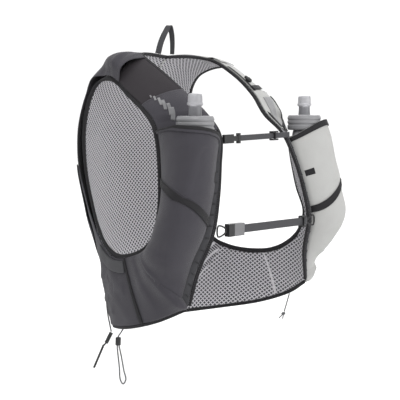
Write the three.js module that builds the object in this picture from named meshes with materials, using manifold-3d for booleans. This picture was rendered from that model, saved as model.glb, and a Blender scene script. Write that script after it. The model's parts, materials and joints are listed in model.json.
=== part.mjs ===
// Running hydration vest, worn shape: two armholes with a ring of panels round each, joined down the spine.
// Millimetres, +Z up. The wearer faces -Y and the wearer's left side is +X.
// The origin lies midway between the two shoulder straps, at the height of the neck corners.
import * as THREE from "three";
import { mergeVertices } from "three/addons/utils/BufferGeometryUtils.js";
import Module from "manifold-3d";

const wasm = await Module();
wasm.setup();
const V = (x, y, z) => new THREE.Vector3(x, y, z);

// Driving sizes of the body that the vest is cut for.
const CHEST_HALF_WIDTH = 152;
const CHEST_FRONT_DEPTH = 143;
const BACK_DEPTH = 122;
const BACK_LENGTH = 390;

// Fabrics and tapes.
const PANEL_THICKNESS = 3;
const FABRIC_THICKNESS = 1.2;
const BINDING_WIDTH = 7;
const BINDING_THICKNESS = 4.2;
const EDGE_TAPE_WIDTH = 5;
const WEBBING_WIDTH = 6;
const WEBBING_THICKNESS = 1.5;
const SEAM_GAP = 0.35;
const LAYER_GAP = 0.95;
const GUSSET_WIDTH = 10;
const SKIN_MARGIN = 1;
const DRAPE_LIFT = 2.1;
const FLASK_CLEARANCE = 1;

// Bulges of the filled pockets, over the panels that they are sewn to.
const FLASK_POCKET_BULGE = 57;
const BACK_POCKET_BULGE = 26;
const STRAP_POCKET_BULGE = 5;
const POUCH_STEP = 1.4;

// Flasks.
const FLASK_HALF_WIDTH = 26;
const FLASK_HALF_DEPTH = 19.5;
const CAP_RADIUS = 25;
const CAP_HEIGHT = 22;
const VALVE_RADIUS = 10.5;
const VALVE_HEIGHT = 29;

// Straps and hardware.
const STERNUM_WEBBING_WIDTH = 8;
const LOWER_WEBBING_WIDTH = 11.5;
const STRAP_THICKNESS = 1.6;
const BUCKLE_LENGTH = 33;
const BUCKLE_WIDTH = 17;
const BUCKLE_THICKNESS = 8;
const ADJUSTER_LENGTH = 13;
const RING_ROD = 2.6;
const HANG_LOOP_HEIGHT = 42;
const HANG_LOOP_SPAN = 26;
const HANG_LOOP_WIDTH = 9;
const CORD_DIAMETER = 2;

// The ring round one armhole, from the crest of the shoulder down the front, under the arm, up the back.
// ax, ay, az: the armhole's free edge. ox, oy, oz: the panels' outer edge. bulge: how far they stand out.
// x is a share of CHEST_HALF_WIDTH and z of BACK_LENGTH. y is one of CHEST_FRONT_DEPTH where it is negative
// and of BACK_DEPTH where it is positive. bulge and dent are shares of BACK_DEPTH.
// The vest hangs a little askew. lift and back: how much higher and further back the right armhole's edge
// lies than the left one. hem: how much higher the right hem hangs. dent: what the left half's bulge lacks.
const COLUMNS = ["at", "ax", "ay", "az", "lift", "back", "ox", "oy", "oz", "hem", "bulge", "dent"];
const RING = [
  ["crest", 0.816, 0.148, -0.014, -0.083, 0, 0.54, 0.107, 0.003, 0, 0.05, 0.04],
  ["strap_top", 0.868, -0.07, -0.066, -0.072, 0, 0.556, -0.182, -0.056, 0, 0.06, 0.045],
  ["strap_mid", 0.914, -0.28, -0.14, -0.042, 0, 0.526, -0.434, -0.126, 0, 0.06, 0.02],
  ["strap_low", 0.947, -0.434, -0.216, -0.01, 0, 0.457, -0.65, -0.203, 0, 0.05, 0],
  ["upper_strap", 0.974, -0.525, -0.287, 0, 0.005, 0.49, -0.839, -0.272, 0, 0.02, 0],
  ["chest", 0.987, -0.575, -0.385, 0, 0.01, 0.58, -0.92, -0.372, 0, 0.02, 0],
  ["ribs", 0.993, -0.64, -0.487, 0, 0.065, 0.66, -0.97, -0.48, 0, 0.03, 0],
  ["lower_strap", 1, -0.73, -0.585, 0.02, 0.18, 0.74, -0.982, -0.593, 0, 0.04, 0],
  ["waist_front", 1, -0.66, -0.66, 0.04, 0.17, 0.82, -0.875, -0.725, 0, 0.04, 0],
  ["front_corner", 1, -0.49, -0.715, 0.06, 0.11, 0.895, -0.832, -0.85, 0.008, 0.03, 0],
  ["side_front", 1, -0.275, -0.748, 0.071, 0.04, 0.98, -0.559, -0.91, 0.018, 0.02, 0],
  ["side", 0.993, -0.08, -0.758, 0.071, 0, 0.967, -0.175, -0.965, 0.028, 0.02, 0],
  ["side_back", 0.974, 0.13, -0.758, 0.081, -0.064, 0.816, 0.246, -0.998, 0.032, 0.03, 0],
  ["back_wing", 0.952, 0.35, -0.748, 0.103, -0.13, 0.48, 0.58, -1.012, 0.026, 0.085, 0],
  ["spine_hem", 0.925, 0.55, -0.72, 0.135, -0.18, 0, 0.72, -1.01, 0, 0.135, 0],
  ["spine_low", 0.888, 0.68, -0.59, 0.09, -0.16, 0, 0.85, -0.78, 0, 0.11, 0],
  ["spine_mid", 0.855, 0.76, -0.42, 0.023, -0.104, 0, 0.97, -0.54, 0, 0.085, 0],
  ["spine_high", 0.829, 0.79, -0.25, -0.019, -0.069, 0, 0.99, -0.32, 0, 0.06, 0],
  ["blade", 0.796, 0.79, -0.11, -0.057, -0.085, 0, 0.78, -0.13, 0, 0.03, 0.01],
  ["nape", 0.77, 0.65, -0.05, -0.053, -0.027, 0, 0.385, 0.015, 0, 0.03, 0.02],
  ["neck_side", 0.76, 0.492, -0.026, -0.053, 0, 0.296, 0.311, 0.02, 0, 0.035, 0.03],
  ["neck_corner", 0.785, 0.311, -0.012, -0.067, 0, 0.487, 0.221, 0.015, 0, 0.045, 0.035],
].map((row) => Object.fromEntries(COLUMNS.map((name, i) => [name, row[i]])));
const COUNT = RING.length;
const station = (name) => RING.findIndex((row) => row.at === name);
const FRONT_CORNER = station("front_corner");
const SPINE_HEM = station("spine_hem");
const NAPE = station("nape");

const depthOf = (share) => share * (share < 0 ? CHEST_FRONT_DEPTH : BACK_DEPTH);
const placed = (x, y, z) => V(x * CHEST_HALF_WIDTH, depthOf(y), z * BACK_LENGTH);
const armholeOf = (right) =>
  new THREE.CatmullRomCurve3(
    RING.map((r) => placed(r.ax, r.ay + right * r.back, r.az + right * r.lift)), true, "centripetal");
const armholes = { left: armholeOf(0), right: armholeOf(1) };
// The outer edge turns a corner at the foot of the front, at the foot of the spine and at the nape.
const outerRunsOf = (lifted) => {
  const outer = RING.map((r) => placed(r.ox, r.oy, r.oz + lifted * r.hem));
  return [
    [NAPE, FRONT_CORNER + COUNT],
    [FRONT_CORNER, SPINE_HEM],
    [SPINE_HEM, NAPE],
  ].map(([first, last]) => {
    const points = [];
    for (let k = first; k <= last; k++) points.push(outer[k % COUNT]);
    return { first, last, curve: new THREE.CatmullRomCurve3(points, false, "centripetal") };
  });
};
const outerRuns = { left: outerRunsOf(0), right: outerRunsOf(1) };
const keyOf = (side) => (side > 0 ? "left" : "right");

function outerPoint(side, a) {
  for (const run of outerRuns[keyOf(side)])
    for (const turn of [0, COUNT]) {
      const at = a + turn;
      if (at >= run.first && at <= run.last)
        return run.curve.getPoint((at - run.first) / (run.last - run.first));
    }
  throw new Error("no outer edge at " + a);
}

const wrap = (a) => ((a % COUNT) + COUNT) % COUNT;
function bulgeAt(side, a) {
  const k = Math.floor(wrap(a));
  const f = wrap(a) - k;
  const smooth = f * f * (3 - 2 * f);
  const share = (row) => row.bulge - (side > 0 ? row.dent : 0);
  return BACK_DEPTH * (share(RING[k]) * (1 - smooth) + share(RING[(k + 1) % COUNT]) * smooth);
}

// The chord from the armhole's free edge to the outer edge at ring position a.
function chordAt(side, a) {
  const inner = armholes[keyOf(side)].getPoint(wrap(a) / COUNT);
  const out = outerPoint(side, wrap(a));
  return { inner, out, length: inner.distanceTo(out) };
}

// A line that the body's middle is on, from which the panels bulge away.
const heart = (p) => V(0, 0, Math.min(p.z, -0.25 * BACK_LENGTH));
function bodyPoint(side, a, t) {
  const { inner, out } = chordAt(side, a);
  const p = inner.lerp(out, t);
  const away = p.clone().sub(heart(p)).normalize();
  const span = Math.min(Math.max(t, 0), 1);
  return p.addScaledVector(away, bulgeAt(side, a) * 4 * span * (1 - span));
}
const STEP = 0.02;
function normalAt(side, a, t) {
  const along = bodyPoint(side, a + STEP, t).sub(bodyPoint(side, a - STEP, t));
  const across = bodyPoint(side, a, Math.min(t + STEP, 1)).sub(bodyPoint(side, a, Math.max(t - STEP, 0)));
  const n = along.cross(across).normalize();
  const onSpine = t > 0.999 && a >= SPINE_HEM && a <= NAPE;
  if (onSpine) n.setX(0).normalize();
  const p = bodyPoint(side, a, t);
  return n.dot(p.clone().sub(heart(p))) < 0 ? n.negate() : n;
}

// A point of the vest. side: 1 for the wearer's left, -1 for the right. rise: the height over the body.
function surf(side, a, t, rise = 0) {
  const p = bodyPoint(side, a, t).addScaledVector(normalAt(side, a, t), rise);
  return V(side * p.x, p.y, p.z);
}
function normal(side, a, t) {
  const n = normalAt(side, a, t);
  return V(side * n.x, n.y, n.z);
}
// Chord shares at a distance from the armhole's free edge, and at a distance from the outer edge.
const fromArmhole = (distance) => (side, a) => distance / chordAt(side, a).length;
const fromOuter = (distance) => (side, a) => 1 - distance / chordAt(side, a).length;
const PANEL_EDGE = BINDING_WIDTH + 0.7;

// A table of [ring position, value] rows, read with smooth steps between them.
function reading(rows) {
  return (a) => {
    if (a <= rows[0][0]) return rows[0][1];
    for (let k = 1; k < rows.length; k++)
      if (a <= rows[k][0]) {
        const f = (a - rows[k - 1][0]) / (rows[k][0] - rows[k - 1][0]);
        return THREE.MathUtils.lerp(rows[k - 1][1], rows[k][1], f * f * (3 - 2 * f));
      }
    return rows[rows.length - 1][1];
  };
}

// Turns cells, four corner points each in order, into a closed wall, as thick as given, away from the body.
// lift moves the wall off its cells before that.
function wall(cells, thickness, lift = 0) {
  const points = [];
  const normals = [];
  const seen = new Map();
  const faces = cells.map((cell) =>
    cell.map((p) => {
      const key = [p.x, p.y, p.z].map((v) => Math.round(v * 200)).join();
      if (!seen.has(key)) {
        seen.set(key, points.length);
        points.push(p.clone());
        normals.push(V(0, 0, 0));
      }
      return seen.get(key);
    }),
  );
  for (const [i, j, k, l] of faces) {
    const n = points[k].clone().sub(points[i]).cross(points[l].clone().sub(points[j]));
    for (const v of [i, j, k, l]) normals[v].add(n);
  }
  const low = points.map((p, i) => p.clone().addScaledVector(normals[i].normalize(), lift));
  const all = [...low, ...low.map((p, i) => p.clone().addScaledVector(normals[i], thickness))];
  const index = [];
  const size = points.length;
  const edges = new Map();
  for (const face of faces) {
    const ring = face.filter((v, i) => v !== face[(i + 1) % 4]);
    for (let i = 1; i + 1 < ring.length; i++) {
      index.push(ring[0] + size, ring[i] + size, ring[i + 1] + size);
      index.push(ring[0], ring[i + 1], ring[i]);
    }
    ring.forEach((v, i) => {
      const next = ring[(i + 1) % ring.length];
      edges.set(v + "_" + next, [v, next]);
    });
  }
  for (const [from, to] of edges.values())
    if (!edges.has(to + "_" + from)) index.push(from, to, to + size, from, to + size, from + size);
  const flat = new Float32Array(all.flatMap((p) => [p.x, p.y, p.z]));
  return new THREE.BufferGeometry()
    .setAttribute("position", new THREE.BufferAttribute(flat, 3))
    .setIndex(index);
}

// Cells of a grid over ring positions and shares; mirrored on the right side, where the order is turned.
function grid(side, rows, columns, pointOf) {
  const cells = [];
  const at = (i, j) => pointOf(i / rows, j / columns);
  for (let i = 0; i < rows; i++)
    for (let j = 0; j < columns; j++) {
      const cell = [at(i, j), at(i + 1, j), at(i + 1, j + 1), at(i, j + 1)];
      cells.push(side > 0 ? cell.reverse() : cell);
    }
  return cells;
}
const lerp = THREE.MathUtils.lerp;
function panelCells(side, from, to, rows, columns, low, high, rise = () => 0) {
  return grid(side, rows, columns, (u, v) => {
    const a = lerp(from, to, u);
    const t = lerp(low(side, a), high(side, a), v);
    return surf(side, a, t, rise(a, v));
  });
}

// A tube or tape swept through sections, each a closed list of points; capped at both ends unless a loop.
function sweep(sections, closed = false) {
  const sides = sections[0].length;
  const count = sections.length;
  const flat = new Float32Array(sections.flat().flatMap((p) => [p.x, p.y, p.z]));
  const index = [];
  const last = closed ? count : count - 1;
  for (let i = 0; i < last; i++)
    for (let j = 0; j < sides; j++) {
      const a = i * sides + j;
      const b = i * sides + ((j + 1) % sides);
      const c = ((i + 1) % count) * sides + ((j + 1) % sides);
      const d = ((i + 1) % count) * sides + j;
      index.push(a, b, c, a, c, d);
    }
  if (!closed)
    for (let j = 1; j + 1 < sides; j++) {
      index.push(0, j + 1, j);
      const e = (count - 1) * sides;
      index.push(e, e + j, e + j + 1);
    }
  const made = new THREE.BufferGeometry()
    .setAttribute("position", new THREE.BufferAttribute(flat, 3))
    .setIndex(index);
  return facingOut(made);
}
function facingOut(geometry) {
  const p = geometry.getAttribute("position");
  const index = geometry.index.array;
  const corner = (i) => new THREE.Vector3().fromBufferAttribute(p, index[i]);
  let volume = 0;
  for (let i = 0; i < index.length; i += 3) volume += corner(i).dot(corner(i + 1).cross(corner(i + 2)));
  if (volume < 0)
    for (let i = 0; i < index.length; i += 3) [index[i + 1], index[i + 2]] = [index[i + 2], index[i + 1]];
  return geometry;
}
// A flat tape's section: centre, width direction, thickness direction.
function tapeSection(centre, wide, width, up, thickness) {
  const w = wide.clone().multiplyScalar(width / 2);
  const h = up.clone().multiplyScalar(thickness / 2);
  return [
    centre.clone().add(w).add(h),
    centre.clone().sub(w).add(h),
    centre.clone().sub(w).sub(h),
    centre.clone().add(w).sub(h),
  ];
}
// A flat tape through points, with its width along wideAt(i).
function tape(points, wideAt, width, thickness) {
  const curve = new THREE.CatmullRomCurve3(points, false, "centripetal");
  const steps = (points.length - 1) * 2;
  const sections = [];
  for (let i = 0; i <= steps; i++) {
    const u = i / steps;
    const along = curve.getTangent(u);
    const wide = wideAt(u).clone().addScaledVector(along, -wideAt(u).dot(along)).normalize();
    sections.push(tapeSection(curve.getPoint(u), wide, width, wide.clone().cross(along), thickness));
  }
  return sweep(sections);
}

// Bindings outside the panels' outer edge: a folded tape that wraps the edge.
function edgeBinding(stops) {
  const path = stops.map(({ side, a }) => surf(side, a, 1));
  const sections = stops.map(({ side, a }, i) => {
    const next = path[Math.min(i + 1, path.length - 1)];
    const along = next.clone().sub(path[Math.max(i - 1, 0)]).normalize();
    const n = normal(side, a, 0.999);
    n.addScaledVector(along, -n.dot(along)).normalize();
    const out = along.clone().cross(n).normalize();
    if (out.dot(path[i].clone().sub(surf(side, a, 0.9))) < 0) out.negate();
    const middle = path[i].clone()
      .addScaledVector(out, 2 * SEAM_GAP + EDGE_TAPE_WIDTH / 2)
      .addScaledVector(n, PANEL_THICKNESS / 2);
    return tapeSection(middle, out, EDGE_TAPE_WIDTH, n, BINDING_THICKNESS);
  });
  return sweep(sections);
}
const run = (side, from, to, steps) =>
  Array.from({ length: steps + 1 }, (_, i) => ({ side, a: lerp(from, to, i / steps) }));

// Materials.
const finish = (colour, roughness, metalness = 0) =>
  new THREE.MeshStandardMaterial({ color: colour, roughness, metalness });
const charcoal = finish(0x47474c, 0.85);
const lightGrey = finish(0xcfcfcd, 0.85);
const spacerMesh = finish(0xa9a9ae, 0.9);
const darkTape = finish(0x2f2f33, 0.8);
const webbingGrey = finish(0x4d4d51, 0.8);
const hardware = finish(0x3a3a3d, 0.45);
const flaskClear = finish(0x9a9aa0, 0.3);
const capGrey = finish(0x8f8f93, 0.4);
const valveClear = finish(0xd5d5d8, 0.25);
const cordGrey = finish(0x4a4a4c, 0.7);

const vest = new THREE.Group();
function add(name, geometry, material) {
  const mesh = new THREE.Mesh(geometry, material);
  mesh.name = name;
  vest.add(mesh);
}
const SIDES = [["left", 1], ["right", -1]];
const one = () => 1;
const full = fromArmhole(PANEL_EDGE);

// Seams between the base panels, as ring positions.
const SEAM_STRAP = 3.6;
const SEAM_SIDE = 10.45;
const SEAM_BACK = 13.2;
const SEAM_YOKE = 20.6;
const SEAM_EASE = 0.014;

// Base panels: padded spacer mesh, lying on the body.
for (const [name, side] of SIDES) {
  const strap = panelCells(side, SEAM_YOKE - COUNT + SEAM_EASE, SEAM_STRAP - SEAM_EASE, 12, 4, full, one);
  add("shoulder_strap_" + name, wall(strap, PANEL_THICKNESS), spacerMesh);
  const front = panelCells(side, SEAM_STRAP + SEAM_EASE, SEAM_SIDE - SEAM_EASE, 12, 4, full, one);
  add("front_panel_" + name, wall(front, PANEL_THICKNESS), spacerMesh);
  const wing = panelCells(side, SEAM_SIDE + SEAM_EASE, SEAM_BACK - SEAM_EASE, 6, 4, full, one);
  add("side_wing_" + name, wall(wing, PANEL_THICKNESS), spacerMesh);
}
const backHalves = SIDES.flatMap(([, side]) =>
  panelCells(side, SEAM_BACK + SEAM_EASE, SPINE_HEM, 2, 6, full, one).concat(
    panelCells(side, SPINE_HEM, NAPE, 10, 6, full, one),
    panelCells(side, NAPE, SEAM_YOKE - SEAM_EASE, 3, 6, full, one),
  ),
);
add("back_panel", wall(backHalves, PANEL_THICKNESS), spacerMesh);

// Bindings.
const bindingDrop = (PANEL_THICKNESS - BINDING_THICKNESS) / 2;
for (const [name, side] of SIDES) {
  const rows = COUNT * 2;
  const sections = [];
  for (let i = 0; i < rows; i++) {
    const a = (i / rows) * COUNT;
    const t = BINDING_WIDTH / chordAt(side, a).length;
    const low = bindingDrop;
    const high = bindingDrop + BINDING_THICKNESS;
    const at = (share, rise) => surf(side, a, share, rise);
    sections.push([at(0, low), at(t, low), at(t, high), at(0, high)]);
  }
  add("armhole_binding_" + name, sweep(sections, true), darkTape);
  add("front_binding_" + name, edgeBinding(run(side, 0.05, FRONT_CORNER - 0.04, 18)), darkTape);
}
const hemEnd = FRONT_CORNER + 0.04;
const hemRun = [...run(-1, hemEnd, SPINE_HEM, 10), ...run(1, SPINE_HEM, hemEnd, 10).slice(1)];
add("hem_binding", edgeBinding(hemRun), darkTape);
const neckRun = [...run(-1, COUNT, NAPE, 6), ...run(1, NAPE, COUNT, 6).slice(1)];
add("neck_binding", edgeBinding(neckRun), darkTape);

// Outer fabrics. They lie over the panels, LAYER_GAP away at the edges, and stand off where they are filled.
const SKIN_RISE = PANEL_THICKNESS + LAYER_GAP;
const skinLow = fromArmhole(PANEL_EDGE + SKIN_MARGIN);
const skinHigh = fromOuter(SKIN_MARGIN);
const gussetAt = reading([[9, GUSSET_WIDTH], [9.35, SKIN_MARGIN]]);
const pocketHigh = (side, a) => fromOuter(gussetAt(a))(side, a);
const hump = (v, power) => Math.sin(Math.PI * Math.min(Math.max(v, 0), 1)) ** power;

// Back: one shell over the spine, and an open stretch pocket over its lower half.
const shellFill = reading([[SEAM_BACK + 0.1, 0], [14, 0.2], [15, 0.5], [16.5, 0.92], [18.3, 0.85]]);
const shellRise = (a, t) => SKIN_RISE + BACK_POCKET_BULGE * shellFill(a) * hump(0.03 + t * 0.47, 0.6);
const YOKE_LOW = 18.3;
const yokeFill = reading([[YOKE_LOW, 0.85], [19.5, 0.75], [21, 0.7], [22.2, 0.45]]);
// Over the left shoulder, which lies flatter, the cloth is less full.
const fullness = (side, a) => (side > 0 ? lerp(1, 0.3, THREE.MathUtils.smoothstep(a, 19, 21.3)) : 1);
const yokeRise = (a, t, side) => {
  const neck = THREE.MathUtils.smoothstep(a, YOKE_LOW, NAPE);
  const across = lerp(hump(0.03 + t * 0.47, 0.6), hump(0.12 + 0.88 * t, 1.1) * (1.1 - 0.45 * t), neck);
  const overCover = DRAPE_LIFT * THREE.MathUtils.smoothstep(a, 21, 21.6);
  return SKIN_RISE + overCover + BACK_POCKET_BULGE * fullness(side, a) * yokeFill(a) * across;
};
const over = (riseOf) => (side, a, t) => surf(side, a, t, riseOf(a, t, side));
function skinCells(side, aOf, rows, columns, low, high, pointOf) {
  return grid(side, rows, columns, (u, v) => {
    const a = aOf(u, v);
    const t = lerp(low(side, a), high(side, a), v);
    return pointOf(side, a, t, v);
  });
}
const between = (from, to) => (u) => lerp(from, to, u);
const joined = (from, to, rows, columns, pointOf, low = skinLow) =>
  SIDES.flatMap(([, side]) => skinCells(side, between(from, to), rows, columns, low, one, pointOf));
const shell = [
  ...joined(SEAM_BACK + SEAM_EASE, SPINE_HEM, 2, 6, over(shellRise)),
  ...joined(SPINE_HEM, YOKE_LOW - SEAM_EASE, 8, 6, over(shellRise)),
];
add("back_shell", wall(shell, FABRIC_THICKNESS), charcoal);
const POCKET_TOP = 16.3;
const pocketFill = reading([[SPINE_HEM, 0], [15, 0.8], [POCKET_TOP, 1]]);
const pocketPoint = (side, a, t) =>
  surf(side, a, t, shellRise(a, t) + FABRIC_THICKNESS + LAYER_GAP + 6 * pocketFill(a) * hump(t * 0.5, 1));
const backPocket = joined(SPINE_HEM + 0.1, POCKET_TOP, 6, 6, pocketPoint, fromArmhole(PANEL_EDGE + 22));
add("back_pocket", wall(backPocket, FABRIC_THICKNESS), charcoal);

// Shoulders: the back's fabric runs over them and ends in an edge at the crest.
const DRAPE_SEAM = 20.6;
const DRAPE_END = 22.2;
const neckMargin = reading([[NAPE, 0], [NAPE + 0.5, SKIN_MARGIN]]);
const yokeHigh = (side, a) => fromOuter(neckMargin(a))(side, a);
const yoke = SIDES.flatMap(([, side]) => [
  ...skinCells(side, between(YOKE_LOW + SEAM_EASE, NAPE), 2, 6, skinLow, one, over(yokeRise)),
  ...skinCells(side, between(NAPE, DRAPE_SEAM - SEAM_EASE), 3, 6, skinLow, yokeHigh, over(yokeRise)),
]);
add("yoke", wall(yoke, FABRIC_THICKNESS), charcoal);
for (const [name, side] of SIDES) {
  const span = between(DRAPE_SEAM + SEAM_EASE, DRAPE_END);
  const drape = skinCells(side, span, 4, 6, skinLow, skinHigh, over(yokeRise));
  add("shoulder_drape_" + name, wall(drape, FABRIC_THICKNESS), side > 0 ? lightGrey : charcoal);
}

// Front of the shoulder straps: a smooth cover, and a small pocket below it.
const COVER_END = 1.9;
const strapFill = reading([[COVER_END, 0.6], [2.4, 1], [2.8, 0.8], [3.2, 0]]);
const mouthAt = (v) => 3.86 + 0.42 * Math.sin((Math.PI / 2) * v);
for (const [name, side] of SIDES) {
  const cover = skinCells(side, between(21.75 - COUNT, COVER_END), 6, 4, skinLow, skinHigh,
    (at, a, t) => surf(at, a, t, SKIN_RISE));
  add("strap_cover_" + name, wall(cover, FABRIC_THICKNESS), side > 0 ? lightGrey : darkTape);
  const small = skinCells(side, (u, v) => lerp(COVER_END + 0.02, 3.8, u), 6, 6, skinLow, skinHigh,
    (at, a, t, v) => surf(at, a, t, SKIN_RISE + STRAP_POCKET_BULGE * strapFill(a) * hump(v, 0.5)));
  add("strap_pocket_" + name, wall(small, FABRIC_THICKNESS), side > 0 ? lightGrey : charcoal);
}

// Flask pockets: open at the top, closed by a band across, with a lower pocket under it down to the hem.
const flaskFill = reading([
  [3.5, 1.02], [4.4, 1.03], [5.8, 1], [6.8, 0.92], [7.8, 0.74], [8.8, 0.46], [9.7, 0.18], [SEAM_SIDE, 0.02],
]);
const flaskRise = (a, v) => SKIN_RISE + FLASK_POCKET_BULGE * flaskFill(a) * hump(v, 0.5);
const bandAt = (v) => lerp(5.35, 6.75, v ** 0.8);
const BAND_HALF = 0.1;
const flaskPoint = (side, a, t, v) => surf(side, a, t, flaskRise(a, v));
const TRIM_LIFT = POUCH_STEP + 0.55;
const POUCH_COLUMNS = 10;
for (const [name, side] of SIDES) {
  const cloth = side > 0 ? lightGrey : charcoal;
  const pouch = (aOf, rows) => skinCells(side, aOf, rows, POUCH_COLUMNS, skinLow, pocketHigh, flaskPoint);
  const upper = pouch((u, v) => lerp(mouthAt(v), bandAt(v) - SEAM_EASE, u), 7);
  add("flask_pocket_" + name, wall(upper, POUCH_STEP), cloth);
  const lower = pouch((u, v) => lerp(bandAt(v) + SEAM_EASE, SEAM_SIDE - SEAM_EASE, u), 9);
  add("lower_pocket_" + name, wall(lower, POUCH_STEP), cloth);
  const band = pouch((u, v) => bandAt(v) + lerp(-BAND_HALF, BAND_HALF, u), 2);
  add("pocket_band_" + name, wall(band, FABRIC_THICKNESS, TRIM_LIFT), darkTape);
  const hem = pouch((u, v) => mouthAt(v) + lerp(0, 0.13, u), 1);
  add("flask_pocket_hem_" + name, wall(hem, FABRIC_THICKNESS, TRIM_LIFT), side > 0 ? darkTape : charcoal);
}

// Webbing along the front edges.
for (const [name, side] of SIDES) {
  const strip = skinCells(side, between(4, 8.98), 14, 1, fromOuter(WEBBING_WIDTH), skinHigh,
    (at, a, t) => surf(at, a, t, SKIN_RISE));
  add("edge_webbing_" + name, wall(strip, WEBBING_THICKNESS), webbingGrey);
}

// Sides, from the flask pockets to the back.
for (const [name, side] of SIDES) {
  const span = between(SEAM_SIDE + SEAM_EASE, SEAM_BACK - SEAM_EASE);
  const flat = (at, a, t) => surf(at, a, t, SKIN_RISE);
  const cover = skinCells(side, span, 6, POUCH_COLUMNS, skinLow, skinHigh, flat);
  add("side_cover_" + name, wall(cover, FABRIC_THICKNESS), side > 0 ? lightGrey : charcoal);
  const seamSpan = between(SEAM_SIDE - 0.05, SEAM_SIDE + 0.05);
  const onPocket = (at, a, t, v) => surf(at, a, t, flaskRise(SEAM_SIDE - 0.05, v));
  const seam = skinCells(side, seamSpan, 1, POUCH_COLUMNS, skinLow, skinHigh, onPocket);
  add("side_seam_" + name, wall(seam, FABRIC_THICKNESS, TRIM_LIFT), darkTape);
  const onCover = (at, a, t) => surf(at, a, t, SKIN_RISE + FABRIC_THICKNESS + 0.9);
  const strip = skinCells(side, between(SEAM_SIDE + 0.15, SEAM_BACK - 0.2), 6, 2,
    fromArmhole(BINDING_WIDTH + 2), fromArmhole(BINDING_WIDTH + 18), onCover);
  add("side_band_" + name, wall(strip, WEBBING_THICKNESS), webbingGrey);
}

// Soft flasks. Their sections lie in the pockets; the neck and the cap stand straight up out of them.
const NECK_AT = { a: 4.1, t: 0.55, out: 5 };
const FLASK_SECTIONS = [
  { a: 7.4, width: 0.50, depth: 0.34 },
  { a: 7.2, width: 0.78, depth: 0.48 },
  { a: 6.6, width: 0.96, depth: 0.78 },
  { a: 5.9, width: 1.00, depth: 0.95 },
  { a: 5.2, width: 1.00, depth: 1.00 },
  { a: 4.7, width: 0.98, depth: 1.00 },
];
// A flask is no wider than its pocket lets it be.
const pocketRoom = (side, a) =>
  (chordAt(side, a).length - PANEL_EDGE - SKIN_MARGIN - GUSSET_WIDTH - 2 * FLASK_CLEARANCE) / 2 - 2;
const FLASK_SHOULDER = [
  { drop: 14, width: 0.90, depth: 0.98 },
  { drop: 6, width: 0.86, depth: 0.94 },
  { drop: 0.4, width: 0.72, depth: 0.86 },
];
// Turned profiles, from the axis at the foot to the axis at the top: [share of radius, share of height].
const CAP_PROFILE = [
  [0, 0], [0.95, 0], [1, 0.1], [1, 0.3], [0.96, 0.36], [0.96, 0.46], [1, 0.52], [1, 0.84], [0.93, 1], [0, 1],
];
const VALVE_PROFILE = [
  [0, 0], [0.84, 0], [0.8, 0.42], [1, 0.48], [1, 0.56], [0.92, 0.6], [0.9, 0.88], [0.82, 0.97], [0.55, 1],
  [0, 1],
];
const turned = (profile, radius, height, sides) =>
  new THREE.LatheGeometry(profile.map(([r, z]) => new THREE.Vector2(r * radius, z * height)), sides);
function ellipse(centre, wide, deep, halfWidth, halfDepth, sides = 14) {
  return Array.from({ length: sides }, (_, k) => {
    const angle = (k / sides) * 2 * Math.PI;
    return centre.clone()
      .addScaledVector(wide, halfWidth * Math.cos(angle))
      .addScaledVector(deep, halfDepth * Math.sin(angle));
  });
}
for (const [name, side] of SIDES) {
  const neck = surf(side, NECK_AT.a, NECK_AT.t, SKIN_RISE + FLASK_HALF_DEPTH + NECK_AT.out);
  const sections = FLASK_SECTIONS.map(({ a, width, depth }) => {
    const halfDepth = FLASK_HALF_DEPTH * depth;
    const centre = surf(side, a, 0.5, SKIN_RISE + FLASK_CLEARANCE + halfDepth);
    const wide = surf(side, a, 0.6).sub(surf(side, a, 0.4)).normalize();
    const half = Math.min(FLASK_HALF_WIDTH, pocketRoom(side, a)) * width;
    return ellipse(centre, wide, normal(side, a, 0.5), half, halfDepth);
  });
  const wide = surf(side, NECK_AT.a, 0.9).sub(surf(side, NECK_AT.a, 0.1)).setZ(0).normalize();
  const deep = V(-side * wide.y, side * wide.x, 0);
  for (const { drop, width, depth } of FLASK_SHOULDER)
    sections.push(ellipse(neck.clone().add(V(0, -0.1 * drop, -drop)), wide, deep,
      FLASK_HALF_WIDTH * width, FLASK_HALF_DEPTH * depth));
  add("flask_body_" + name, sweep(sections), flaskClear);
  const cap = turned(CAP_PROFILE, CAP_RADIUS, CAP_HEIGHT, 18);
  const stand = (geometry, height) =>
    geometry.rotateX(Math.PI / 2).translate(neck.x, neck.y, neck.z + height);
  add("flask_cap_" + name, stand(cap, 0), capGrey);
  const valve = turned(VALVE_PROFILE, VALVE_RADIUS, VALVE_HEIGHT, 12);
  add("bite_valve_" + name, stand(valve, CAP_HEIGHT + SEAM_GAP), valveClear);
}

// Sternum straps. Each runs straight from the right front edge (share 0) to the left one (share 1).
function strapLine(right, left) {
  const from = surf(-1, right, fromOuter(-7.4)(-1, right), 2);
  const to = surf(1, left, fromOuter(-1)(1, left), 9.8);
  const along = to.clone().sub(from).normalize();
  const up = V(0, 0, 1).addScaledVector(along, -along.z).normalize();
  const face = along.clone().cross(up).normalize();
  if (face.y > 0) face.negate();
  return { from, along, up, face, length: from.distanceTo(to) };
}
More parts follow.
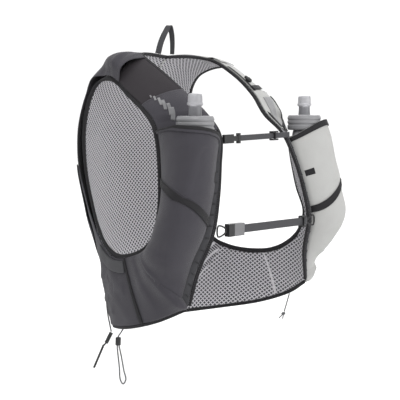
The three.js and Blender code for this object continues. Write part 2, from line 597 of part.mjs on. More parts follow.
// A box on a strap's line: from and to are lengths along it, the rest are sizes across and offsets.
function block(line, from, to, height, thickness, out = 0, shift = 0) {
  const basis = new THREE.Matrix4().makeBasis(line.along, line.up, line.along.clone().cross(line.up));
  const turn = line.along.clone().cross(line.up).dot(line.face) < 0 ? -1 : 1;
  return new THREE.BoxGeometry(to - from, height, thickness)
    .translate((from + to) / 2, shift, turn * out)
    .applyMatrix4(basis)
    .translate(line.from.x, line.from.y, line.from.z);
}
function solid(geometry) {
  const bare = new THREE.BufferGeometry().setAttribute("position", geometry.getAttribute("position"));
  if (geometry.index) bare.setIndex(geometry.index);
  const merged = mergeVertices(bare, 1e-4);
  return new wasm.Manifold(
    new wasm.Mesh({
      numProp: 3,
      vertProperties: merged.attributes.position.array,
      triVerts: new Uint32Array(merged.index.array),
    }),
  );
}
function meshed(manifold) {
  const { vertProperties, triVerts } = manifold.getMesh();
  return new THREE.BufferGeometry()
    .setAttribute("position", new THREE.BufferAttribute(new Float32Array(vertProperties), 3))
    .setIndex(Array.from(triVerts));
}
const joinAll = (pieces) => meshed(pieces.map(solid).reduce((whole, piece) => whole.add(piece)));
// A slider: two rails beside the webbing, end bars behind it and a middle bar before it.
function slider(line, middle, width) {
  const half = ADJUSTER_LENGTH / 2;
  const rail = 2.2;
  const bar = 2.4;
  const clear = STRAP_THICKNESS / 2 + SEAM_GAP;
  const pieces = [-1, 1].flatMap((way) => [
    block(line, middle - half, middle + half, rail, 2 * (clear + bar), 0,
      way * (width / 2 + SEAM_GAP + rail / 2)),
    block(line, middle + way * (half - bar / 2) - bar / 2, middle + way * (half - bar / 2) + bar / 2,
      width + 2 * SEAM_GAP + 1, bar, -(clear + bar / 2)),
  ]);
  const across = width + 2 * SEAM_GAP + 1;
  pieces.push(block(line, middle - bar / 2, middle + bar / 2, across, bar, clear + bar / 2));
  return joinAll(pieces);
}
// A ring of bent rod round three corner points, given as lengths along the line and heights.
function rodRing(line, corners) {
  const points = corners.map(([x, y]) =>
    line.from.clone().addScaledVector(line.along, x).addScaledVector(line.up, y));
  const path = new THREE.CatmullRomCurve3(points, true, "centripetal");
  const steps = 18;
  const sections = [];
  for (let i = 0; i < steps; i++) {
    const along = path.getTangentAt(i / steps);
    const side = along.clone().cross(line.face).normalize();
    sections.push(ellipse(path.getPointAt(i / steps), side, line.face, RING_ROD / 2, RING_ROD / 2, 6));
  }
  return sweep(sections, true);
}

const upperLine = strapLine(4.15, 4.15);
const upperAt = (share) => share * upperLine.length;
const hookBody = [
  block(upperLine, -0.5, upperAt(0.13), 12, 4.4),
  block(upperLine, upperAt(0.12), upperAt(0.2), 7, 3.4),
  block(upperLine, upperAt(0.19), upperAt(0.225), 14, 4.4),
];
add("upper_hook", joinAll(hookBody), hardware);
const webbing = (line, from, to, width) => block(line, from, to, width, STRAP_THICKNESS);
add("upper_strap", webbing(upperLine, upperAt(0.225) + SEAM_GAP, upperAt(0.985), STERNUM_WEBBING_WIDTH),
  webbingGrey);
add("upper_adjuster", slider(upperLine, upperAt(0.74), STERNUM_WEBBING_WIDTH), hardware);

const lowerLine = strapLine(6.94, 7.05);
const lowerAt = (share) => share * lowerLine.length;
const RING_SPAN = 16;
const ringCorners = (start, way) => {
  const tip = start + way * RING_SPAN;
  return [[start, -7], [start, 7], [tip, 2.2], [tip, -2.2]];
};
add("strap_ring_right", rodRing(lowerLine, ringCorners(3, 1)), hardware);
add("strap_ring_left", rodRing(lowerLine, ringCorners(lowerLine.length - 1, -1)), hardware);
const plugStart = 21.4;
const plugEnd = plugStart + BUCKLE_LENGTH * 0.36;
const socketEnd = plugStart + BUCKLE_LENGTH;
const inside = BUCKLE_WIDTH - 4;
const tongueEnd = socketEnd - 9;
add("buckle_plug", joinAll([
  block(lowerLine, plugStart, plugEnd - SEAM_GAP, BUCKLE_WIDTH, BUCKLE_THICKNESS),
  block(lowerLine, plugEnd - 1, tongueEnd, 4, 2.6),
  block(lowerLine, plugEnd - 1, tongueEnd - 3, 2.6, 3, 0, inside / 2 - 2.2),
  block(lowerLine, plugEnd - 1, tongueEnd - 3, 2.6, 3, 0, 2.2 - inside / 2),
]), hardware);
const socket = [
  block(lowerLine, plugEnd, socketEnd, BUCKLE_WIDTH, BUCKLE_THICKNESS),
  block(lowerLine, plugEnd - 1, tongueEnd + 1, inside, 4.4),
  block(lowerLine, plugEnd + 4, tongueEnd - 2, BUCKLE_WIDTH + 2, 3.6),
].map(solid);
add("buckle_socket", meshed(socket[0].subtract(socket[1]).subtract(socket[2])), capGrey);
const ladderLockMiddle = lowerAt(0.87);
const lowerEnd = lowerLine.length - RING_SPAN - 3;
add("lower_strap", webbing(lowerLine, socketEnd + SEAM_GAP, lowerEnd, LOWER_WEBBING_WIDTH), webbingGrey);
add("lower_adjuster", slider(lowerLine, ladderLockMiddle, LOWER_WEBBING_WIDTH), hardware);

// Hang loop over the nape.
const loopFoot = outerPoint(1, NAPE).z + 2 * SEAM_GAP + EDGE_TAPE_WIDTH + 2;
const loopDepth = outerPoint(1, NAPE).y;
const loopPath = [
  [-0.5, 0, 0], [-0.28, 0.42, -1], [0.06, 0.82, -3], [0.3, 1, -4], [0.52, 0.78, -3], [0.68, 0.4, -1],
  [0.7, 0, 0],
].map(([x, z, y]) => V(x * HANG_LOOP_SPAN, loopDepth + y, loopFoot + z * HANG_LOOP_HEIGHT));
const loopFace = (u) => V(lerp(-0.8, 0.1, u), 1, 0).normalize();
add("hang_loop", tape(loopPath, loopFace, HANG_LOOP_WIDTH, STRAP_THICKNESS), webbingGrey);

// Free cords, with the plastic pieces on them.
function cord(points, closed = false) {
  const curve = new THREE.CatmullRomCurve3(points, closed, "centripetal");
  const section = new THREE.Shape();
  section.absarc(0, 0, CORD_DIAMETER / 2, 0, 2 * Math.PI, false);
  const shape = new THREE.Shape(section.getPoints(4).slice(0, 8));
  const steps = Math.min(80, Math.round(curve.getLength() / (2.5 * CORD_DIAMETER)));
  const options = { steps, extrudePath: curve, bevelEnabled: false };
  return facingOut(indexed(new THREE.ExtrudeGeometry(shape, options)));
}
function indexed(geometry) {
  const bare = new THREE.BufferGeometry().setAttribute("position", geometry.getAttribute("position"));
  return mergeVertices(bare, 1e-4);
}
// Their routes are offsets from the point of the vest that each comes out of.
const routed = (from, rows) => rows.map(([x, y, z]) => from.clone().add(V(x, y, z)));
const hemPoint = surf(-1, 11.4, 1);
const sidePoint = surf(-1, 12.2, 0.62, SKIN_RISE + FABRIC_THICKNESS);
const cornerPoint = surf(1, 9.95, 1);
const HEM_CORD = routed(hemPoint, [[1.3, 0.1, -7], [6.5, 10.6, -15.4], [12.8, 21.4, -23.4]]);
const DRAWCORD = routed(hemPoint, [
  [11.7, 22.6, -36], [11.3, 20.7, -50.4], [11.1, 18, -67.4], [10.6, 15.9, -84.4], [12.8, 12.5, -90.7],
  [15.8, 9.9, -84.7], [14.9, 12.8, -71.7], [13.9, 16.4, -52.4], [13.5, 20.8, -36.4],
]);
const PULL_CORD = routed(sidePoint, [
  [-1.1, 0.2, -1], [-1, 0, -12.8], [0, -1.1, -26.8], [2.2, -2.9, -42.8], [3.4, -4.2, -51.8],
]);
const KNOT_CORD = routed(cornerPoint, [
  [-0.1, -1.9, -6.2], [-5.6, -2.9, -14.2], [-11.6, -3.4, -24.2], [-15.8, -3.4, -32.7],
]);
add("drawcord", cord(DRAWCORD), cordGrey);
add("hem_cord", cord(HEM_CORD), cordGrey);
add("pull_cord", cord(PULL_CORD), cordGrey);
add("knotted_cord", cord(KNOT_CORD), cordGrey);
function barrel(from, to, radius, sides = 10) {
  const along = to.clone().sub(from);
  const turn = new THREE.Quaternion().setFromUnitVectors(V(0, 1, 0), along.clone().normalize());
  return new THREE.CylinderGeometry(radius, radius, along.length(), sides)
    .applyQuaternion(turn)
    .translate((from.x + to.x) / 2, (from.y + to.y) / 2, (from.z + to.z) / 2);
}
const [lockTop, lockEnd] = routed(hemPoint, [[13.1, 21.8, -24.4], [12.5, 21.8, -35.5]]);
add("drawcord_lock", indexed(barrel(lockTop, lockEnd, 4).toNonIndexed()), hardware);
const [pullTop, pullEnd, ringEnd, tabStart, tabEnd] = routed(sidePoint, [
  [3.2, -4.6, -53.2], [-3, -0.2, -67.8], [-5.9, 2.8, -71.8], [-5.4, 2.6, -70.8], [-16.9, 10.9, -103.1],
]);
const pull = [barrel(pullTop, pullEnd, 2.8), barrel(pullEnd, ringEnd, 1.2), barrel(tabStart, tabEnd, 1.7, 6)];
add("pull_tab", joinAll(pull), hardware);

export default vest;
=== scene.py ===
# %% [markdown]
# # A running hydration vest
# The vest is a ring of thin panels round each armhole. The two rings meet down the spine, and two straps
# close them over the chest. Everything here is in metres, +Z up, and the wearer faces -Y.
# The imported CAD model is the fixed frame: each cloth piece is made again on the same surface, finer and
# with its folds, and then stands for its plain solid.

import json
import math

import bpy
import bmesh
import numpy as np
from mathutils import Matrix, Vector

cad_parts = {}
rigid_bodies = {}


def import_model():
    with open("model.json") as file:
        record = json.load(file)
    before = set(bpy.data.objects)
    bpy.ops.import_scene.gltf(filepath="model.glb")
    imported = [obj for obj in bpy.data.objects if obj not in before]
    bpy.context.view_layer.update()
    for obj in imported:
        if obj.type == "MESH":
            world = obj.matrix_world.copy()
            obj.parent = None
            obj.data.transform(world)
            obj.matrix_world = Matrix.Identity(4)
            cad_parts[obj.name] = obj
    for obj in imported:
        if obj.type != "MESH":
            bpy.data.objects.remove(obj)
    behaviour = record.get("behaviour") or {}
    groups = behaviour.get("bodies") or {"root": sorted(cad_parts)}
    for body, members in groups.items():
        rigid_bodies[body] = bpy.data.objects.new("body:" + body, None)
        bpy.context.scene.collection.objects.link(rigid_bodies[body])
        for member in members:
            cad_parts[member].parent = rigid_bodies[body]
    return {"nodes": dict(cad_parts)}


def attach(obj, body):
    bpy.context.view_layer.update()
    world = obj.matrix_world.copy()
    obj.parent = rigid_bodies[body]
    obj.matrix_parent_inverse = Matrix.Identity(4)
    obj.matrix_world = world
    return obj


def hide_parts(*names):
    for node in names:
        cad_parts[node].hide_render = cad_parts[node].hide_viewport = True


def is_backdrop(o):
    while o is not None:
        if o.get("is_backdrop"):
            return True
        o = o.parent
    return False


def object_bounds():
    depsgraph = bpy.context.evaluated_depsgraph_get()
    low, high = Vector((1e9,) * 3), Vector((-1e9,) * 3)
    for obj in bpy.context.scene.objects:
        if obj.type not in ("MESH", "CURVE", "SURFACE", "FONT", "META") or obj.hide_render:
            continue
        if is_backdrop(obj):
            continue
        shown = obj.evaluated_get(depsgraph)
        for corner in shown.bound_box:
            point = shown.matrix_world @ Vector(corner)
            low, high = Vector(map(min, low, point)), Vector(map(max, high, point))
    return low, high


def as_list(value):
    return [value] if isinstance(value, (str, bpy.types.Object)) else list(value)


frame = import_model()
cad_box = [list(corner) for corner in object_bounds()]
print("frame nodes:", len(frame["nodes"]))

# %% [markdown]
# ## Camera
# The vest is seen from its right front, a little above its middle. A long lens stands well back, so that
# the near and the far half differ little in size. The camera comes first because the free cords have to
# lie inside what it sees.

# %% Camera
VIEW_TURN, VIEW_DROP = math.radians(49.2), math.radians(5.8)
look = Vector((
    math.sin(VIEW_TURN) * math.cos(VIEW_DROP), math.cos(VIEW_TURN) * math.cos(VIEW_DROP),
    -math.sin(VIEW_DROP)))


def linked(name, data):
    """A new object in the scene."""
    made = bpy.data.objects.new(name, data)
    bpy.context.scene.collection.objects.link(made)
    return made


camera = linked("camera", bpy.data.cameras.new("camera"))
camera.location = Vector((0, -0.025, -0.204)) - look * 1.337
camera.rotation_euler = look.to_track_quat("-Z", "Y").to_euler()
camera.data.lens = 81
camera.data.clip_end = 20
bpy.context.scene.camera = camera
print("camera at", [round(v, 3) for v in camera.location])

# %% [markdown]
# ## Meshes with a cloth map
# Every cloth piece is a grid of points, so its UV map can be laid out in real lengths: one unit is 100 mm.
# A weave drawn on that map runs with the cloth round every curve. The helpers below turn a grid into a
# mesh, and a mesh into an object that rides on the one body.

# %% Helpers for meshes
MM = 0.001
UV_UNIT = 100.0


def unit(vectors):
    return vectors / np.linalg.norm(vectors, axis=-1, keepdims=True)


def square_to(vectors, along):
    """The vectors turned square to the unit vectors along, at length one."""
    return unit(vectors - along * (vectors * along).sum(-1, keepdims=True))


def run_along(points):
    """Distance from the first point of a line to each of its points."""
    return np.concatenate([[0.0], np.cumsum(np.linalg.norm(np.diff(points, axis=0), axis=1))])


def cloth_object(name, points, faces, uvs):
    """An object from points in millimetres, faces as point indices, and one UV pair per point."""
    mesh = bpy.data.meshes.new(name)
    mesh.from_pydata((np.asarray(points) * MM).tolist(), [], [list(map(int, f)) for f in faces])
    layer = mesh.uv_layers.new(name="cloth")
    of_loop = np.empty(len(mesh.loops), np.int32)
    mesh.loops.foreach_get("vertex_index", of_loop)
    layer.data.foreach_set("uv", (np.asarray(uvs)[of_loop] / UV_UNIT).astype(np.float32).ravel())
    mesh.polygons.foreach_set("use_smooth", [True] * len(mesh.polygons))
    mesh.update()
    return linked(name, mesh)


def put_on(piece, finish, *nodes):
    """Gives a piece its finish, lets it ride on the vest, and lets it stand for CAD nodes."""
    material, slot = finish
    piece.data.materials.clear()
    piece.data.materials.append(material)
    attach(piece, "root")
    if nodes:
        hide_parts(*nodes)
    return piece


# %% [markdown]
# ## The surface of the vest
# Two closed lines carry the whole form: the free edge of each armhole, and the outer edge that runs
# along the neck, the front, the hem and the spine. A point of the vest is named by its ring position `a`,
# counted in stations round the armhole, and by its share `t` from the free edge (0) to the outer edge (1).
# The stations are the same named shares of the body's sizes as in the part, so that cloth made here lies
# where its solid is. The vest hangs a little askew: lift, back and hem shift the right half's edges.

# %% Body sizes and stations
CHEST_HALF_WIDTH, CHEST_FRONT_DEPTH, BACK_DEPTH, BACK_LENGTH = 152.0, 143.0, 122.0, 390.0
STATION_COLUMNS = ("ax", "ay", "az", "lift", "back", "ox", "oy", "oz", "hem", "bulge", "dent")
STATIONS = {
    "crest": (0.816, 0.148, -0.014, -0.083, 0, 0.54, 0.107, 0.003, 0, 0.05, 0.04),
    "strap_top": (0.868, -0.07, -0.066, -0.072, 0, 0.556, -0.182, -0.056, 0, 0.06, 0.045),
    "strap_mid": (0.914, -0.28, -0.14, -0.042, 0, 0.526, -0.434, -0.126, 0, 0.06, 0.02),
    "strap_low": (0.947, -0.434, -0.216, -0.01, 0, 0.457, -0.65, -0.203, 0, 0.05, 0),
    "upper_strap": (0.974, -0.525, -0.287, 0, 0.005, 0.49, -0.839, -0.272, 0, 0.02, 0),
    "chest": (0.987, -0.575, -0.385, 0, 0.01, 0.58, -0.92, -0.372, 0, 0.02, 0),
    "ribs": (0.993, -0.64, -0.487, 0, 0.065, 0.66, -0.97, -0.48, 0, 0.03, 0),
    "lower_strap": (1, -0.73, -0.585, 0.02, 0.18, 0.74, -0.982, -0.593, 0, 0.04, 0),
    "waist_front": (1, -0.66, -0.66, 0.04, 0.17, 0.82, -0.875, -0.725, 0, 0.04, 0),
    "front_corner": (1, -0.49, -0.715, 0.06, 0.11, 0.895, -0.832, -0.85, 0.008, 0.03, 0),
    "side_front": (1, -0.275, -0.748, 0.071, 0.04, 0.98, -0.559, -0.91, 0.018, 0.02, 0),
    "side": (0.993, -0.08, -0.758, 0.071, 0, 0.967, -0.175, -0.965, 0.028, 0.02, 0),
    "side_back": (0.974, 0.13, -0.758, 0.081, -0.064, 0.816, 0.246, -0.998, 0.032, 0.03, 0),
    "back_wing": (0.952, 0.35, -0.748, 0.103, -0.13, 0.48, 0.58, -1.012, 0.026, 0.085, 0),
    "spine_hem": (0.925, 0.55, -0.72, 0.135, -0.18, 0, 0.72, -1.01, 0, 0.135, 0),
    "spine_low": (0.888, 0.68, -0.59, 0.09, -0.16, 0, 0.85, -0.78, 0, 0.11, 0),
    "spine_mid": (0.855, 0.76, -0.42, 0.023, -0.104, 0, 0.97, -0.54, 0, 0.085, 0),
    "spine_high": (0.829, 0.79, -0.25, -0.019, -0.069, 0, 0.99, -0.32, 0, 0.06, 0),
    "blade": (0.796, 0.79, -0.11, -0.057, -0.085, 0, 0.78, -0.13, 0, 0.03, 0.01),
    "nape": (0.77, 0.65, -0.05, -0.053, -0.027, 0, 0.385, 0.015, 0, 0.03, 0.02),
    "neck_side": (0.76, 0.492, -0.026, -0.053, 0, 0.296, 0.311, 0.02, 0, 0.035, 0.03),
    "neck_corner": (0.785, 0.311, -0.012, -0.067, 0, 0.487, 0.221, 0.015, 0, 0.045, 0.035),
}
COUNT = len(STATIONS)
SHARES = {c: np.array([row[i] for row in STATIONS.values()], float) for i, c in enumerate(STATION_COLUMNS)}
FRONT_CORNER, SPINE_HEM, NAPE = (list(STATIONS).index(n) for n in ("front_corner", "spine_hem", "nape"))
SIDES = {"left": 1, "right": -1}

# %% [markdown]
# A centripetal Catmull-Rom curve goes through every station without loops or overshoot, whatever the
# spacing. The outer edge turns a corner at the foot of the front, at the foot of the spine and at the
# nape, so it is three open curves.


# %% Curves through the stations
def catmull_rom(stations, closed, share):
    """Points of a centripetal curve through stations, at shares from 0 to 1 of its parameter."""
    count = len(stations)
    at = np.asarray(share, float) * (count if closed else count - 1)
    k = np.floor(at).astype(int)
    if not closed:
        k = np.clip(k, 0, count - 2)
    f = (at - k)[:, None]
    if closed:
        p0, p1, p2, p3 = (stations[(k + d) % count] for d in (-1, 0, 1, 2))
    else:
        longer = np.vstack([2 * stations[0] - stations[1], stations, 2 * stations[-1] - stations[-2]])
        p0, p1, p2, p3 = (longer[k + d] for d in (0, 1, 2, 3))
    d0, d1, d2 = (
        np.sqrt(np.linalg.norm(q - p, axis=1, keepdims=True)) for p, q in ((p0, p1), (p1, p2), (p2, p3)))
    d1 = np.where(d1 < 1e-4, 1.0, d1)
    d0, d2 = (np.where(d < 1e-4, d1, d) for d in (d0, d2))
    m1 = ((p1 - p0) / d0 - (p2 - p0) / (d0 + d1) + (p2 - p1) / d1) * d1
    m2 = ((p2 - p1) / d1 - (p3 - p1) / (d1 + d2) + (p3 - p2) / d2) * d1
    return p1 + m1 * f + (3 * (p2 - p1) - 2 * m1 - m2) * f**2 + (2 * (p1 - p2) + m1 + m2) * f**3


def placed(x, y, z):
    depth = np.where(y < 0, CHEST_FRONT_DEPTH, BACK_DEPTH)
    return np.stack([x * CHEST_HALF_WIDTH, y * depth, z * BACK_LENGTH], -1)


ARMHOLE, BULGE, OUTER = {}, {}, {}
for side in SIDES.values():
    right = side < 0
    ARMHOLE[side] = placed(
        SHARES["ax"], SHARES["ay"] + right * SHARES["back"], SHARES["az"] + right * SHARES["lift"])
    OUTER[side] = placed(SHARES["ox"], SHARES["oy"], SHARES["oz"] + right * SHARES["hem"])
    BULGE[side] = BACK_DEPTH * (SHARES["bulge"] - (not right) * SHARES["dent"])
OUTER_RUNS = ((NAPE, FRONT_CORNER + COUNT), (FRONT_CORNER, SPINE_HEM), (SPINE_HEM, NAPE))


def outer_point(side, a):
    a = np.asarray(a, float) % COUNT
    found = np.zeros((len(a), 3))
    todo = np.ones(len(a), bool)
    for first, last in OUTER_RUNS:
        for turn in (0, COUNT):
            hit = todo & (a + turn >= first) & (a + turn <= last)
            if hit.any():
                row = OUTER[side][np.arange(first, last + 1) % COUNT]
                found[hit] = catmull_rom(row, False, (a[hit] + turn - first) / (last - first))
                todo &= ~hit
    return found


def chord(side, a):
    """Both ends of the chord at ring position a, and its length."""
    a = np.asarray(a, float) % COUNT
    inner, out = catmull_rom(ARMHOLE[side], True, a / COUNT), outer_point(side, a)
    return inner, out, np.linalg.norm(out - inner, axis=1)


# %% [markdown]
# Between its two edges the cloth bulges away from the middle of the body. `surf` adds a height over that
# form, along its normal: a panel's thickness, the fill of a pocket, or a fold.


# %% Points and normals of the vest
def smooth_step(f):
    f = np.clip(f, 0, 1)
    return f * f * (3 - 2 * f)


def mix(low, high, f):
    return low + (high - low) * f


def away_from_heart(p):
    heart = np.zeros_like(p)
    heart[:, 2] = np.minimum(p[:, 2], -0.25 * BACK_LENGTH)
    return unit(p - heart)


def body_point(side, a, t):
    inner, out, _ = chord(side, a)
    p = inner + (out - inner) * t[:, None]
    k = np.floor(a % COUNT).astype(int)
    bulge = mix(BULGE[side][k], BULGE[side][(k + 1) % COUNT], smooth_step(a % COUNT - k))
    span = np.clip(t, 0, 1)
    return p + away_from_heart(p) * (bulge * 4 * span * (1 - span))[:, None]


def body_normal(side, a, t, step=0.02):
    along = body_point(side, a + step, t) - body_point(side, a - step, t)
    across = body_point(side, a, np.minimum(t + step, 1)) - body_point(side, a, np.maximum(t - step, 0))
    n = np.cross(along, across)
    n[(t > 0.999) & (a >= SPINE_HEM) & (a <= NAPE), 0] = 0  # both halves meet level on the spine
    n = unit(n)
    inward = (n * away_from_heart(body_point(side, a, t))).sum(1) < 0
    return np.where(inward[:, None], -n, n)


def surf(side, a, t, rise=0.0):
    """Points of the vest in millimetres; side is 1 for the wearer's left half and -1 for the right."""
    a, t, rise = np.broadcast_arrays(*(np.atleast_1d(np.asarray(v, float)) for v in (a, t, rise)))
    shape = a.shape
    a, t, rise = a.ravel(), t.ravel(), rise.ravel()
    p = body_point(side, a, t) + body_normal(side, a, t) * rise[:, None]
    p[:, 0] *= side
    return p.reshape(*shape, 3)


def surf_normal(side, a, t):
    a, t = np.broadcast_arrays(*(np.atleast_1d(np.asarray(v, float)) for v in (a, t)))
    n = body_normal(side, a.ravel(), t.ravel())
    n[:, 0] *= side
    return n.reshape(*a.shape, 3)


def from_armhole(distance):
    return lambda side, a: distance / chord(side, a)[2]


def from_outer(distance):
    return lambda side, a: 1 - (distance(a) if callable(distance) else distance) / chord(side, a)[2]


def reading(*rows):
    """A table of (ring position, value) rows, read with smooth steps between them."""
    at, value = np.array(rows, float).T

    def read(a):
        a = np.clip(a, at[0], at[-1])
        k = np.clip(np.searchsorted(at, a, side="right") - 1, 0, len(at) - 2)
        return mix(value[k], value[k + 1], smooth_step((a - at[k]) / (at[k + 1] - at[k])))

    return read


print("hem at the spine:", surf(1, SPINE_HEM, 1)[0].round(1), "front edge:", surf(-1, 5, 1)[0].round(1))

# %% [markdown]
# ## Cloth walls
# A sewn panel is one sheet with a small thickness. `patch` lays a grid of points over part of the ring,
# and `cloth_wall` welds one or more patches and gives them a thickness away from the body. Its cloth map
# counts millimetres along the ring and from the outer edge inwards, so both halves meet at the spine.


# %% Patches and walls
def patch(side, a_of, rows, columns, low, high, rise_of, folds=None, cloth_map=None):
    """A grid of points over the ring: a_of(u, v) gives ring positions, low and high the shares across."""
    u, v = np.meshgrid(np.linspace(0, 1, rows + 1), np.linspace(0, 1, columns + 1), indexing="ij")
    u, v = u.ravel(), v.ravel()
    a = np.broadcast_to(a_of(u, v), u.shape).astype(float)
    t = mix(low(side, a), high(side, a), v)
    rise = np.broadcast_to(rise_of(a, t, v), u.shape).astype(float)
    if folds is not None:
        rise = rise + folds(side, a, t, u, v)
    grid = (rows + 1, columns + 1, 3)
    return {"points": surf(side, a, t, rise).reshape(grid), "normals": surf_normal(side, a, t), "side": side,
            "map": cloth_map}


def weld(patches):
    """Points, faces that look away from the body, and cloth map of several patches, with doubles merged."""
    points, faces, uvs, count = [], [], [], 0
    for one_patch in patches:
        p = one_patch["points"]
        rows, columns = p.shape[:2]
        index = np.arange(rows * columns).reshape(rows, columns)
        quads = np.stack([index[:-1, :-1], index[1:, :-1], index[1:, 1:], index[:-1, 1:]], -1).reshape(-1, 4)
        flat = p.reshape(-1, 3)
        q = flat[quads]
        facing = np.cross(q[:, 2] - q[:, 0], q[:, 3] - q[:, 1])
        if (facing * one_patch["normals"][quads[:, 0]]).sum() < 0:
            quads = quads[:, ::-1]
        if one_patch["map"]:
            uvs.append(one_patch["map"](flat))
        else:
            across = np.linalg.norm(np.diff(p, axis=1), axis=2)
            inward = np.cumsum(across[:, ::-1], axis=1)[:, ::-1]
            from_edge = np.concatenate([inward, np.zeros((rows, 1))], axis=1)
            along = np.broadcast_to(run_along(p[:, (columns - 1) // 2])[:, None], (rows, columns))
            uvs.append(np.stack([along, one_patch["side"] * from_edge], -1).reshape(-1, 2))
        points.append(flat)
        faces.append(quads + count)
        count += len(flat)
    points, faces, uvs = np.vstack(points), np.vstack(faces), np.vstack(uvs)
    _, first, where = np.unique(np.round(points, 2), axis=0, return_index=True, return_inverse=True)
    return points[first], where.ravel()[faces], uvs[first]


def point_normals(points, faces):
    q = points[faces]
    n = np.cross(q[:, 2] - q[:, 0], q[:, 3] - q[:, 1])
    total = np.zeros_like(points)
    for corner in range(4):
        np.add.at(total, faces[:, corner], n)
    return total / np.maximum(np.linalg.norm(total, axis=1, keepdims=True), 1e-9)


def rim_edges(faces):
    """Directed edges that only one face has."""
    edges = {(int(f[i]), int(f[(i + 1) % 4])) for f in faces for i in range(4) if f[i] != f[(i + 1) % 4]}
    return sorted(e for e in edges if (e[1], e[0]) not in edges)


def cloth_wall(name, patches, thickness, lift=0.0):
    """Closes welded patches into a wall of that thickness, with a rounded rim."""
    points, faces, uvs = weld(patches)
    n, size = point_normals(points, faces), len(points)
    low, high = points + n * lift, points + n * (lift + thickness)
    rim = rim_edges(faces)
    rim_points = sorted({i for e in rim for i in e})
    out = np.zeros_like(points)
    for i, j in rim:
        side = np.cross(points[j] - points[i], n[i] + n[j])
        out[i] += side
        out[j] += side
    out /= np.maximum(np.linalg.norm(out, axis=1, keepdims=True), 1e-9)
    middle = {i: 2 * size + k for k, i in enumerate(rim_points)}
    belly = (low + high)[rim_points] / 2 + out[rim_points] * min(0.3, thickness * 0.3)
    every = [f + size for f in faces] + [f[::-1] for f in faces]
    for i, j in rim:
        every += [[i, j, middle[j], middle[i]], [middle[i], middle[j], j + size, i + size]]
    every = [[v for k, v in enumerate(f) if v != f[k - 1]] for f in every]
    every = [f for f in every if len(f) > 2]
    return cloth_object(name, np.vstack([low, high, belly]), every, np.vstack([uvs, uvs, uvs[rim_points]]))


def worn(node, kind, patches, thickness, finish, lift=0.0):
    """A cloth wall that stands for one CAD node and is named after it."""
    return put_on(cloth_wall(f"{node}_{kind}", patches, thickness, lift), finish, node)


# %% [markdown]
# ## Finishes
# A small helper makes shader nodes and links them in one line. Each finish reads the cloth map in
# millimetres or the object's own coordinates, so it stays put on the piece in every view. A finish is a
# material with the slot of the frame that it fills.


# %% Helpers for finishes
def finish_tree(name):
    """A new material, a maker of its nodes, and its shader."""
    material = bpy.data.materials.new(name)
    material.use_nodes = True
    tree = material.node_tree

    def make(kind, settings=None, **inputs):
        made = tree.nodes.new("ShaderNode" + kind)
        for key, value in (settings or {}).items():
            setattr(made, key, value)
        feed(made, inputs)
        return made.outputs[0]

    def feed(made, inputs):
        for key, value in inputs.items():
            socket = made.inputs[int(key[1:])] if key[1:].isdigit() else made.inputs[key.replace("_", " ")]
            if isinstance(value, bpy.types.NodeSocket):
                tree.links.new(value, socket)
            else:
                socket.default_value = value

    make.feed = feed
    return material, make, tree.nodes["Principled BSDF"]


def sums(make, operation, first, second=0.0, third=0.0):
    return make("Math", {"operation": operation}, i0=first, i1=second, i2=third)


def cloth_axes(make):
    """The cloth map in millimetres, and its two coordinates."""
    cloth = make("UVMap", {"uv_map": "cloth"})
    scaled = make("VectorMath", {"operation": "SCALE"}, Vector=cloth, Scale=UV_UNIT)
    parts = make("SeparateXYZ", None, Vector=scaled).node
    return scaled, parts.outputs[0], parts.outputs[1]


def own_mm(make):
    """The piece's own coordinates in millimetres."""
    at = make("TexCoord").node.outputs["Object"]
    return make("VectorMath", {"operation": "SCALE"}, Vector=at, Scale=1000.0)


def waves_of(make, coordinate, length):
    return sums(make, "SINE", sums(make, "MULTIPLY", coordinate, 2 * math.pi / length))


def noise_at(make, vector, per_mm, detail=2.0, rough=0.5):
    return make("TexNoise", None, Vector=vector, Scale=per_mm, Detail=detail, Roughness=rough)


def toned(colour, share):
    return tuple(c * share for c in colour)


def colour_between(make, factor, low, high, start=0.0, end=1.0):
    """A blend of two colours by a factor socket, from its start value to its end value."""
    ramp = make("ValToRGB", None, Fac=factor).node
    for stop, at, colour in zip(ramp.color_ramp.elements, (start, end), (low, high)):
        stop.position, stop.color = at, (*colour, 1)
    return ramp.outputs[0]


def cover(make, shader, colour, height, bump, roughness, deep=0.0002, **more):
    """Feeds the shader its colour, its roughness and a bump of the given strength and depth."""
    bumped = make("Bump", None, Strength=bump, Distance=deep, Height=height)
    make.feed(shader, {"Base Color": colour, "Normal": bumped, "Roughness": roughness, **more})


# %% [markdown]
# Cloth is crossing threads, the padded mesh is a lattice of dark diamond holes, tapes are ribbed, and
# moulded pieces have a fine grain in their gloss. The bite valves' silicone is painted greyer in its foot,
# as shade under the flange, and paler above it, as a painted highlight.


# %% Finishes
def woven(name, slot, colour, thread=0.5, bump=0.25, mottle=0.12, sheen=0.25):
    """Woven or knitted cloth: crossing threads as a bump, slow colour drift, and a soft sheen."""
    material, make, shader = finish_tree(name)
    scaled, u, v = cloth_axes(make)
    threads = sums(make, "MULTIPLY", waves_of(make, u, thread), waves_of(make, v, thread))
    drift = noise_at(make, scaled, 0.05, 3.0)
    grain = noise_at(make, scaled, 1.6, 2.0, 0.7)
    shade = sums(make, "ADD", sums(make, "MULTIPLY", grain, 0.55), sums(make, "MULTIPLY", drift, 0.5))
    shade = sums(make, "MULTIPLY_ADD", threads, 0.10, shade)
    tone = colour_between(make, shade, toned(colour, 1 - mottle), toned(colour, 1 + mottle), 0.25, 0.8)
    cover(make, shader, tone, sums(make, "MULTIPLY_ADD", grain, 0.5, threads), bump, 0.85,
          **{"Sheen Weight": sheen, "Sheen Roughness": 0.5, "Specular IOR Level": 0.25})
    return material, slot


